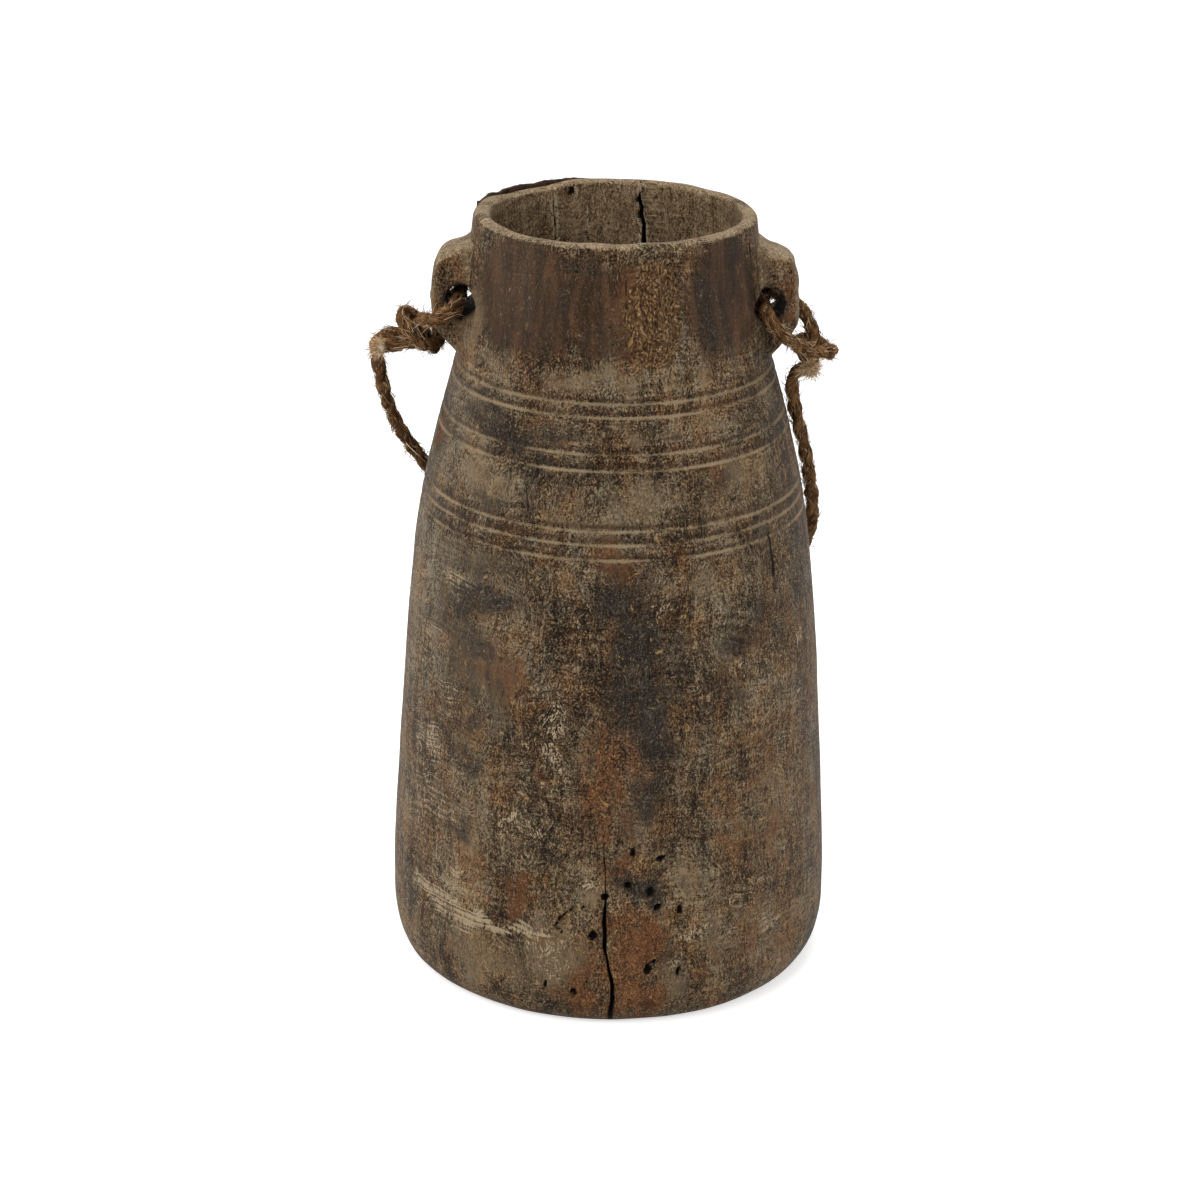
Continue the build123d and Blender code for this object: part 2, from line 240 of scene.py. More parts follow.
class NodeBench:
    """Lays shader nodes into one new material and hands back their output sockets."""

    def __init__(self, name: str) -> None:
        """Starts a material with a Principled shader.

        Args:
            name: Name of the material.
        """
        self.material = bpy.data.materials.new(name)
        self.material.use_nodes = True
        self.nodes = self.material.node_tree.nodes
        self.links = self.material.node_tree.links
        self.shader = self.nodes["Principled BSDF"]
        self.place = self.nodes.new("ShaderNodeTexCoord").outputs["Object"]

    def feed(self, socket: Socket, value: Socket | float | Colour) -> None:
        """Links an output to an input socket, or sets the input's own value.

        Args:
            socket: Input to feed.
            value: Output socket, number or colour.
        """
        if isinstance(value, bpy.types.NodeSocket):
            self.links.new(value, socket)
        elif isinstance(value, tuple):
            socket.default_value = (*value, 1.0) if len(socket.default_value) == 4 else value
        else:
            socket.default_value = value

    def noise(
        self,
        per_metre: Triple,
        detail: float,
        rough: float,
        shift: float = 0.0,
        source: Socket | None = None,
        output: str = "Fac",
    ) -> Socket:
        """Noise with its own number of cells per metre, or per unit of its source, along X, Y and Z.

        Args:
            per_metre: Cells per metre or unit along each axis.
            detail: Octaves.
            rough: Share that each octave keeps.
            shift: Moves the pattern, so that two noises differ.
            source: Coordinates, if not the object's own.
            output: Output of the noise: Fac, a number of about 0.25 to 0.75, or Color.

        Returns:
            The noise.
        """
        place = self.nodes.new("ShaderNodeMapping")
        self.links.new(source or self.place, place.inputs["Vector"])
        place.inputs["Scale"].default_value = per_metre
        place.inputs["Location"].default_value = (shift, shift * 0.7, shift * 1.3)
        node = self.nodes.new("ShaderNodeTexNoise")
        self.links.new(place.outputs["Vector"], node.inputs["Vector"])
        node.inputs["Scale"].default_value = 1.0
        node.inputs["Detail"].default_value = detail
        node.inputs["Roughness"].default_value = rough
        return node.outputs[output]

    def wander(self, per_metre: Triple, reach: float, source: Socket | None = None) -> Socket:
        """Coordinates moved about by a noise, so that lines drawn on them flow and bend.

        Args:
            per_metre: Cells per metre along each axis.
            reach: How far a full swing of the noise moves a place, in metres.
            source: Coordinates to move, if not the object's own.

        Returns:
            The moved coordinates.
        """
        swing = self.nodes.new("ShaderNodeVectorMath")
        swing.operation = "SUBTRACT"
        self.links.new(self.noise(per_metre, 2, 0.5, 21.0, source, "Color"), swing.inputs[0])
        swing.inputs[1].default_value = (0.5, 0.5, 0.5)
        moved = self.nodes.new("ShaderNodeVectorMath")
        moved.operation = "MULTIPLY_ADD"
        self.links.new(swing.outputs["Vector"], moved.inputs[0])
        moved.inputs[1].default_value = (reach, reach, reach)
        self.links.new(source or self.place, moved.inputs[2])
        return moved.outputs["Vector"]

    def math(
        self, work: str, first: Socket | float, second: Socket | float = 0.0, clamp: bool = False
    ) -> Socket:
        """One sum.

        Args:
            work: Name of the operation, as the Math node has it.
            first: First number.
            second: Second number.
            clamp: Whether the result is held to 0 to 1.

        Returns:
            The result.
        """
        node = self.nodes.new("ShaderNodeMath")
        node.operation = work
        node.use_clamp = clamp
        self.feed(node.inputs[0], first)
        self.feed(node.inputs[1], second)
        return node.outputs[0]

    def total(self, *terms: tuple[Socket, float]) -> Socket:
        """Sum of sockets, each times its weight.

        Args:
            terms: Socket and weight of each term.

        Returns:
            The sum.
        """
        result: Socket | None = None
        for value, weight in terms:
            node = self.nodes.new("ShaderNodeMath")
            node.operation = "MULTIPLY_ADD"
            self.feed(node.inputs[0], value)
            node.inputs[1].default_value = weight
            self.feed(node.inputs[2], result if result is not None else 0.0)
            result = node.outputs[0]
        return result

    def step(self, value: Socket, low: float, high: float, most: float = 1.0, least: float = 0.0) -> Socket:
        """Smooth step of a number from low to high.

        Args:
            value: Number to step.
            low: Where the step starts.
            high: Where it ends.
            most: Result past high.
            least: Result before low.

        Returns:
            The stepped number.
        """
        node = self.nodes.new("ShaderNodeMapRange")
        node.interpolation_type = "SMOOTHSTEP"
        self.links.new(value, node.inputs["Value"])
        node.inputs["From Min"].default_value = low
        node.inputs["From Max"].default_value = high
        node.inputs["To Min"].default_value = least
        node.inputs["To Max"].default_value = most
        return node.outputs["Result"]

    def patch(
        self, mark: Socket, edge: tuple[tuple[Socket, float], ...], low: float, high: float, most: float = 1.0
    ) -> Socket:
        """Share of a mark with a broken edge: the mark plus weighted noises about their middle, stepped."""
        middle = sum(weight for _, weight in edge) / 2
        return self.step(self.total((mark, 1.0), *edge), low + middle, high + middle, most)

    def blend(
        self, under: Socket | Colour, over: Socket | Colour, share: Socket | float, mode: str = "MIX"
    ) -> Socket:
        """Lays one colour over another.

        Args:
            under: Colour below.
            over: Colour above.
            share: How much of the upper one shows.
            mode: Blend mode.

        Returns:
            The blended colour.
        """
        node = self.nodes.new("ShaderNodeMix")
        node.data_type = "RGBA"
        node.blend_type = mode
        self.feed(node.inputs[0], share)
        self.feed(node.inputs[6], under)
        self.feed(node.inputs[7], over)
        return node.outputs[2]

    def less(self, share: Socket, by: Socket, much: float) -> Socket:
        """A share held back where another is strong: share times (1 - much times the other)."""
        kept = self.math("SUBTRACT", 1.0, self.math("MULTIPLY", by, much))
        return self.math("MULTIPLY", share, kept, True)

    def ramp(self, value: Socket, stops: list[tuple[float, Colour]]) -> Socket:
        """Colour ramp.

        Args:
            value: Place on the ramp.
            stops: Place and colour of each stop, rising.

        Returns:
            The colour.
        """
        node = self.nodes.new("ShaderNodeValToRGB")
        while len(node.color_ramp.elements) < len(stops):
            node.color_ramp.elements.new(0.5)
        for element, (place, colour) in zip(node.color_ramp.elements, stops):
            element.position = place
            element.color = (*colour, 1.0)
        self.links.new(value, node.inputs["Fac"])
        return node.outputs["Color"]

    def marks(self, name: str) -> list[Socket]:
        """The four channels of a colour attribute.

        Args:
            name: Name of the attribute.

        Returns:
            Red, green, blue and alpha.
        """
        source = self.nodes.new("ShaderNodeAttribute")
        source.attribute_name = name
        parts = self.nodes.new("ShaderNodeSeparateColor")
        self.links.new(source.outputs["Color"], parts.inputs["Color"])
        return [*parts.outputs[:3], source.outputs["Alpha"]]

    def axes(self) -> list[Socket]:
        """Parts of the object's own coordinates.

        Returns:
            X, Y and Z in metres.
        """
        parts = self.nodes.new("ShaderNodeSeparateXYZ")
        self.links.new(self.place, parts.inputs["Vector"])
        return list(parts.outputs)

    def emboss(self, height: Socket, strength: float, depth: float) -> None:
        """Adds a bump to the shader's normal.

        Args:
            height: Height of the relief.
            strength: Strength of the bump.
            depth: Depth of a height of 1, in metres.
        """
        node = self.nodes.new("ShaderNodeBump")
        node.inputs["Strength"].default_value = strength
        node.inputs["Distance"].default_value = depth
        self.links.new(height, node.inputs["Height"])
        self.links.new(node.outputs["Normal"], self.shader.inputs["Normal"])


class WoodLayers:
    """Lays the colour of the wood layer on layer and hands back the shares that later layers need."""

    def __init__(self, paints: "WornWood") -> None:
        """Lays the noises that the layers share, from clouds down to grit, and the bare wood.

        Args:
            paints: Colours of the wood.
        """
        bench = NodeBench("worn_wood")
        channels = {name: bench.marks(name) for name in MARK_LAYERS}
        self.bench = bench
        self.paints = paints
        self.mark = {stain: channels[stain.value[0]][stain.value[1]] for stain in Stain}
        self.flow = bench.wander((38, 38, 22), 0.016)
        self.swirl = bench.wander((130, 130, 95), 0.010, self.flow)
        self.cloud = bench.noise((22, 22, 14), 8, 0.62)
        self.blotch = bench.noise((86, 86, 34), 8, 0.66, 3.1, self.flow)
        self.patchy = bench.noise((250, 250, 105), 5, 0.68, 11.0, self.swirl)
        self.fibre = bench.noise((640, 640, 105), 3, 0.60, 5.7, self.flow)
        self.fleck = bench.noise((1250, 1250, 460), 2, 0.60, 9.3, self.swirl)
        self.grit = bench.noise((1450, 1450, 1250), 2, 0.72, 2.2)
        self.lathe = bench.noise((24, 24, 780), 3, 0.66, 7.9, self.flow)
        self.streak = bench.noise((150, 150, 11), 4, 0.62, 17.3, self.flow)
        self.fine = bench.total((self.fibre, 0.8), (self.fleck, 1.6), (self.grit, 2.1), (self.lathe, 0.7))
        self.colour = self.bare_wood()

    def lay(self, over: Socket | Colour, share: Socket, mode: str = "MIX") -> None:
        """Lays one more colour over what is there, as far as its share says."""
        self.colour = self.bench.blend(self.colour, over, share, mode)

    def bare_wood(self) -> Socket:
        """Clouds of dark and tan, broken up by fibre, turning lines and grit.

        Returns:
            The colour.
        """
        bench, paints = self.bench, self.paints
        clouds = bench.total((self.cloud, 1.15), (self.blotch, 0.95), (self.patchy, 0.45))
        broken = bench.total((clouds, 1.0), (self.streak, 0.55), (self.fine, 0.95))
        # The dark mark lowers the tone: handled wood, and painted shade above the grooves.
        tone = bench.total((broken, 1.0), (self.mark[Stain.OLIVE], 0.14), (self.mark[Stain.DARK], -0.15))
        stops = [(0.04, paints.black), (0.28, paints.shadow), (0.50, paints.umber)]
        stops += [(0.72, paints.tan), (0.98, paints.straw)]
        return bench.ramp(bench.math("SUBTRACT", tone, 3.51), stops)

    def zones(self) -> None:
        """Warm and cool zones, a cooler, greyer tint over the upper left, and olive and red patches."""
        bench, paints = self.bench, self.paints
        ruddy = bench.noise((76, 76, 48), 7, 0.70, 12.4, self.flow)
        self.lay(paints.warm, bench.step(ruddy, 0.49, 0.60, 0.95), "MULTIPLY")
        self.lay(paints.cool, bench.step(ruddy, 0.49, 0.38, 0.95), "MULTIPLY")
        across, _, up = bench.axes()
        upper = bench.math("MULTIPLY", bench.step(up, 0.12, 0.20), bench.step(up, 0.315, 0.298))
        upper_left_share = bench.math("MULTIPLY", upper, bench.step(across, 0.02, -0.06, 1.0, 0.55))
        self.lay(paints.upper_left_tint, upper_left_share, "MULTIPLY")
        edge = ((self.blotch, 1.3), (self.cloud, 1.2), (self.fleck, 0.9))
        self.lay(paints.olive, bench.patch(self.mark[Stain.OLIVE], edge, 0.16, 0.86, 0.66))
        edge = ((self.blotch, 0.9), (ruddy, 2.0), (self.fibre, 0.7), (self.grit, 0.9))
        self.lay(paints.red, bench.patch(self.mark[Stain.RED], edge, 0.18, 0.80, 0.62))

    def neck_polish_and_groove_shade(self) -> Socket:
        """Dark wood polished by hands, in upright streaks, and painted shade above the grooves, which comes
        on the same dark mark.

        Returns:
            Share of polished wood and of painted shade above the grooves.
        """
        bench, paints = self.bench, self.paints
        edge = ((self.fibre, 0.9), (self.cloud, 0.8), (self.grit, 0.6))
        share = bench.patch(self.mark[Stain.DARK], edge, 0.25, 0.90, 0.80)
        stops = [(0.34, paints.shadow), (0.50, paints.polish_and_shade), (0.66, paints.polish_red_and_shade)]
        self.lay(bench.ramp(self.streak, stops), share)
        return share

    def hollow(self) -> None:
        """Duller wood inside the neck, with pale flecks."""
        bench, paints = self.bench, self.paints
        broken = bench.total((self.streak, 0.35), (self.fleck, 1.3), (self.grit, 1.6), (self.fibre, 0.6))
        tone = bench.total((broken, 1.0), (self.blotch, 1.1), (self.lathe, 0.6))
        stops = [(0.08, paints.shadow), (0.44, paints.inside), (0.70, paints.ochre), (0.92, paints.pale)]
        colour = bench.ramp(bench.math("SUBTRACT", tone, 2.315), stops)
        self.lay(colour, bench.step(self.mark[Stain.INSIDE], 0.1, 0.9, 0.82))

    def rough_band(self) -> Socket:
        """A strip of rough, bristly end grain down the neck.

        Returns:
            Height of its bristles.
        """
        bench, paints = self.bench, self.paints
        bristle = bench.noise((980, 980, 560), 2, 0.66, 4.4, self.swirl)
        edge = ((self.blotch, 0.7), (self.fibre, 0.5), (self.grit, 0.4))
        share = bench.patch(self.mark[Stain.BAND], edge, 0.30, 0.60, 0.92)
        stops = [(0.35, paints.bristle_deep), (0.46, paints.bristle_brown)]
        stops += [(0.56, paints.bristle_tan), (0.69, paints.bristle_pale)]
        self.lay(bench.ramp(bristle, stops), share)
        return bench.math("MULTIPLY", bench.math("SUBTRACT", bristle, 0.5), share)

    def soot(self) -> None:
        """Soot that follows its marks and breaks up along the fibre; on the lugs the same marks carry painted
        shade in and round the eyes.
        """
        bench, paints = self.bench, self.paints
        edge = ((self.blotch, 2.1), (self.patchy, 1.5), (self.cloud, 1.0))
        edge += ((self.fleck, 1.1), (self.grit, 1.1), (self.fibre, 0.8))
        tone = bench.total((self.fleck, 0.9), (self.grit, 1.0), (self.patchy, 0.8))
        stops = [(0.24, paints.black), (0.50, paints.soot), (0.80, paints.ash)]
        colour = bench.ramp(bench.math("SUBTRACT", tone, 0.85), stops)
        self.lay(colour, bench.patch(self.mark[Stain.SOOT], edge, 0.26, 0.92, 0.90))

    def rust(self) -> Socket:
        """Rust, brighter where its marks are strong.

        Returns:
            Share of rust.
        """
        bench, paints = self.bench, self.paints
        mark = self.mark[Stain.RUST]
        edge = ((self.blotch, 1.5), (self.patchy, 1.2), (self.grit, 1.1), (self.fibre, 0.6))
        share = bench.patch(mark, edge, 0.24, 0.78, 0.88)
        tone = bench.total((self.patchy, 1.2), (self.grit, 1.8), (self.fleck, 1.0), (mark, 0.22))
        stops = [(0.10, paints.rust_deep), (0.50, paints.rust), (0.92, paints.rust_bright)]
        self.lay(bench.ramp(bench.math("SUBTRACT", tone, 1.62), stops), share)
        return share

    def flecks(self, polish_and_shade: Socket) -> Socket:
        """Light flecks, dark pores and small ochre flakes, fewer where hands have polished the wood and where
        shade is painted above the grooves.

        Args:
            polish_and_shade: Share of polished wood and of painted shade above the grooves.

        Returns:
            Noise of the pores.
        """
        bench, paints = self.bench, self.paints
        inside = self.mark[Stain.INSIDE]
        self.lay(paints.ochre, bench.less(bench.step(self.fine, 2.90, 3.35, 0.60), polish_and_shade, 0.85))
        pores = bench.noise((1150, 1150, 260), 2, 0.6, 15.2, self.flow)
        open_pores = bench.less(bench.step(pores, 0.59, 0.69, 0.62), polish_and_shade, 0.7)
        self.lay(paints.black, bench.less(open_pores, inside, 0.6))
        flake = bench.noise((330, 330, 240), 3, 0.62, 23.7, self.swirl)
        flakes = bench.less(bench.step(flake, 0.645, 0.70, 0.70), polish_and_shade, 0.8)
        self.lay(paints.flake, bench.less(flakes, inside, 1.0))
        return pores

    def scuffs(self) -> Socket:
        """Pale scuffs, turning scratches, dust in the grooves, worn edges, painted top light on the lugs and
        white specks.

        Returns:
            Share of dust.
        """
        bench, paints = self.bench, self.paints
        edge = ((self.fleck, 2.4), (self.grit, 1.5), (self.fibre, 0.9))
        edge += ((self.patchy, 1.4), (self.blotch, 0.8))
        self.lay(paints.pale, bench.patch(self.mark[Stain.PALE], edge, 0.70, 1.08, 0.84))
        lines = bench.noise((7, 7, 1050), 3, 0.70, 1.7, self.flow)
        edge = ((lines, 2.6), (self.fleck, 1.4), (self.patchy, 1.2))
        self.lay(paints.pale, bench.patch(self.mark[Stain.TURNED], edge, 0.62, 1.02, 0.72))
        edge = ((self.blotch, 0.7), (self.patchy, 0.7), (self.fleck, 0.6), (self.grit, 0.5))
        dusty = bench.patch(self.mark[Stain.DUST], edge, 0.32, 0.98, 0.82)
        self.lay(paints.dust, dusty)
        edge = ((self.blotch, 1.0), (self.patchy, 0.9), (self.fleck, 1.2), (self.grit, 0.8))
        # Worn wood, and the painted top light on the lugs' tops.
        rubbed_and_top_light = bench.ramp(self.fleck, [(0.34, paints.umber), (0.50, paints.worn), (0.70, paints.pale)])
        self.lay(rubbed_and_top_light, bench.patch(self.mark[Stain.WEAR], edge, 0.36, 1.0, 0.82))
        specks = bench.noise((620, 620, 620), 1, 0.5, 6.6)
        self.lay(paints.speck, bench.step(specks, 0.785, 0.83, 0.55))
        return dusty

    def pits(self) -> Socket:
        """Black nail holes and splits, and painted shade in the lugs' eyes.

        Returns:
            Share of the pits.
        """
        edge = ((self.patchy, 0.9), (self.grit, 0.7), (self.fibre, 0.4))
        share = self.bench.patch(self.mark[Stain.PIT], edge, 0.38, 0.60)
        self.lay(self.paints.pit, share)
        return share

    def roughness(self, polish_and_shade: Socket, rusted: Socket, dusty: Socket) -> None:
        """Sets the roughness: polished wood and the painted shade above the grooves are smoother than dusty
        or rusty wood.

        Args:
            polish_and_shade: Share of polished wood and of painted shade above the grooves.
            rusted: Share of rust.
            dusty: Share of dust.
        """
        shader, bench = self.bench.shader, self.bench
        grain = bench.total((self.fleck, 0.25), (self.blotch, 0.25))
        rough = bench.total((grain, 1.0), (dusty, 0.12), (rusted, 0.15), (polish_and_shade, -0.22))
        bench.feed(shader.inputs["Roughness"], bench.math("ADD", rough, 0.32, True))
        shader.inputs["Specular IOR Level"].default_value = 0.06

    def relief(self, bristles: Socket, pores: Socket, holes: Socket) -> None:
        """Embosses the grain, with bristles that stand up and pores and holes that sink.

        Args:
            bristles: Height of the bristles.
            pores: Noise of the pores.
            holes: Share of the pits.
        """
        grain = self.bench.total((self.fine, 0.45), (self.patchy, 0.55), (self.blotch, 0.40))
        height = self.bench.total((grain, 1.0), (pores, -0.30), (holes, -0.8), (bristles, 1.6))
        self.bench.emboss(height, 0.70, 0.0014)


@dataclass(frozen=True)
class WornWood:
    """Old hardwood: upright grain, turning lines, soot, dust, rust and pale scuffs.

    The upper left tint, warm and cool are not colours of their own: the bare wood is multiplied by them.
    """

    black: Colour = (0.005, 0.0035, 0.0025)
    shadow: Colour = (0.025, 0.015, 0.008)
    umber: Colour = (0.082, 0.050, 0.026)
    tan: Colour = (0.160, 0.109, 0.061)
    straw: Colour = (0.330, 0.248, 0.152)
    ochre: Colour = (0.310, 0.222, 0.130)
    # Handled wood; these two also colour the painted shade above the grooves.
    polish_and_shade: Colour = (0.046, 0.024, 0.012)
    polish_red_and_shade: Colour = (0.092, 0.042, 0.020)
    bristle_deep: Colour = (0.007, 0.003, 0.0015)
    bristle_brown: Colour = (0.060, 0.029, 0.011)
    bristle_tan: Colour = (0.130, 0.070, 0.030)
    bristle_pale: Colour = (0.360, 0.235, 0.125)
    soot: Colour = (0.019, 0.0145, 0.0115)
    ash: Colour = (0.066, 0.056, 0.045)
    red: Colour = (0.112, 0.045, 0.019)
    dust: Colour = (0.290, 0.216, 0.132)
    pale: Colour = (0.420, 0.330, 0.212)
    speck: Colour = (0.42, 0.36, 0.27)
    olive: Colour = (0.160, 0.115, 0.066)
    rust_deep: Colour = (0.026, 0.011, 0.005)
    rust: Colour = (0.086, 0.035, 0.015)
    rust_bright: Colour = (0.215, 0.095, 0.038)
    inside: Colour = (0.158, 0.105, 0.058)
    # Worn wood, also the painted top light on the lugs' tops.
    worn: Colour = (0.265, 0.190, 0.112)
    pit: Colour = (0.004, 0.003, 0.002)
    flake: Colour = (0.340, 0.205, 0.080)
    upper_left_tint: Colour = (0.97, 1.03, 1.12)
    warm: Colour = (1.13, 0.955, 0.78)
    cool: Colour = (0.86, 0.97, 1.06)

    def material(self) -> bpy.types.Material:
        """Lays the wood in order, from the bare wood up to the pits, and feeds the shader.

        Returns:
            The material.
        """
        layers = WoodLayers(self)
        layers.zones()
        # Polished neck, and painted shade above the grooves.
        polish_and_shade = layers.neck_polish_and_groove_shade()
        layers.hollow()
        bristles = layers.rough_band()
        layers.soot()
        rusted = layers.rust()
        pores = layers.flecks(polish_and_shade)
        dusty = layers.scuffs()
        holes = layers.pits()
        bench = layers.bench
        bench.feed(bench.shader.inputs["Base Color"], layers.colour)
        layers.roughness(polish_and_shade, rusted, dusty)
        layers.relief(bristles, pores, holes)
        return bench.material


@dataclass(frozen=True)
class RustyIron:
    """Old wrought iron, dark under brown and orange rust."""

    name: str
    iron: Colour
    brown: Colour
    orange: Colour

    def material(self) -> bpy.types.Material:
        """Builds the material: hammered dark metal with scales of rust.

        Returns:
            The material.
        """
        bench = NodeBench(self.name)
        scale = bench.noise((260, 260, 260), 5, 0.65)
        grain = bench.noise((1500, 1500, 1500), 3, 0.6, 4.0)
        bloom = bench.noise((90, 90, 90), 4, 0.6, 8.0)
        colour = bench.ramp(scale, [(0.36, self.iron), (0.52, self.brown), (0.70, self.orange)])
        colour = bench.blend(colour, self.brown, bench.step(bloom, 0.45, 0.65, 0.6))
        colour = bench.blend(colour, self.iron, bench.step(grain, 0.52, 0.70, 0.5))
        bench.feed(bench.shader.inputs["Base Color"], colour)
        rust = bench.step(scale, 0.34, 0.56)
        bench.feed(bench.shader.inputs["Metallic"], bench.step(scale, 0.34, 0.50, 0.0, 0.4))
        bench.feed(bench.shader.inputs["Roughness"], bench.total((rust, 0.35), (grain, 0.4)))
        bench.shader.inputs["Specular IOR Level"].default_value = 0.18
        bench.emboss(bench.total((scale, 1.0), (grain, 0.5)), 0.6, 0.0007)
        return bench.material


STRIP_IRON = RustyIron("strip_iron", (0.016, 0.013, 0.011), (0.042, 0.024, 0.015), (0.105, 0.044, 0.019))
NAIL_IRON = RustyIron("nail_iron", (0.040, 0.026, 0.020), (0.110, 0.046, 0.024), (0.200, 0.078, 0.030))


@dataclass(frozen=True)
class TwistedFibre:
    """Dark hand-twisted plant fibre, with straw-coloured frayed ends."""

    # Darkest fibre, also used as the painted shade in the crease between the plies.
    hollow: Colour = (0.011, 0.0045, 0.0015)
    brown: Colour = (0.128, 0.058, 0.021)
    light: Colour = (0.410, 0.228, 0.094)
    straw: Colour = (0.780, 0.640, 0.450)

    def rope(self) -> bpy.types.Material:
        """Material of the plies: long fibres along the yarn, drawn on the piece's own UV map, with painted
        shade in the crease between the plies.

        Returns:
            The material.
        """
        bench = NodeBench("rope_ply")
        chart = bench.nodes.new("ShaderNodeUVMap")
        chart.uv_map = "along"
        frayed, groove, _, _ = bench.marks("ply_marks")
        strand = bench.noise((0.16, 9.0, 1.0), 4, 0.65, 0.0, chart.outputs["UV"])
        hair = bench.noise((0.45, 26.0, 1.0), 3, 0.6, 3.0, chart.outputs["UV"])
        patch = bench.noise((140, 140, 140), 3, 0.6, 5.0)
        tone = bench.total((strand, 0.75), (hair, 0.65), (patch, 0.45))
        colour = bench.ramp(
            bench.step(tone, 0.68, 1.20), [(0.15, self.hollow), (0.50, self.brown), (0.90, self.light)]
        )
        # Painted shade: the plies darken towards the crease where they meet.
        colour = bench.blend(colour, self.hollow, bench.step(groove, 0.35, 1.0, 0.75))
        pale = bench.step(bench.total((frayed, 1.0), (hair, 0.6)), 0.55, 1.05, 0.9)
        colour = bench.blend(colour, self.straw, pale)
        bench.feed(bench.shader.inputs["Base Color"], colour)
        bench.shader.inputs["Roughness"].default_value = 0.88
        bench.shader.inputs["Specular IOR Level"].default_value = 0.12
        bench.emboss(bench.total((strand, 0.7), (hair, 0.6)), 0.9, 0.0008)
        return bench.material

    def hairs(self) -> bpy.types.Material:
        """Material of the loose fibres, whose tone is an attribute.

        Returns:
            The material.
        """
        bench = NodeBench("rope_hairs")
        tone = bench.marks("hair_tone")[0]
        stops = [(0.0, self.hollow), (0.3, self.brown), (0.6, self.light), (1.0, self.straw)]
        colour = bench.ramp(tone, stops)
        bench.feed(bench.shader.inputs["Base Color"], colour)
        bench.shader.inputs["Roughness"].default_value = 0.75
        bench.shader.inputs["Specular IOR Level"].default_value = 0.15
        return bench.material


# Wood


@dataclass(frozen=True)
class Mark:
    """A soft oval mark on the turned wood: angle in degrees, height and half sizes in millimetres."""

    stain: Stain
    angle: float
    height: float
    wide: float
    tall: float
    strength: float = 1.0
    edge: float = 2.0


@dataclass(frozen=True)
class Split:
    """A dark line on the turned wood through points of angle, height and half width."""

    points: tuple[Triple, ...]
    depth: float = 0.0
    strength: float = 1.0


def several(
    stain: Stain, *rows: tuple[float, float, float, float, float], edge: float = 2.0
) -> list[Mark]:
    """Marks of one kind.

    Args:
        stain: Their kind.
        rows: Angle, height, half width, half height and strength of each.
        edge: How sharp their edge is.

    Returns:
        The marks.
    """
    return [Mark(stain, *row, edge=edge) for row in rows]


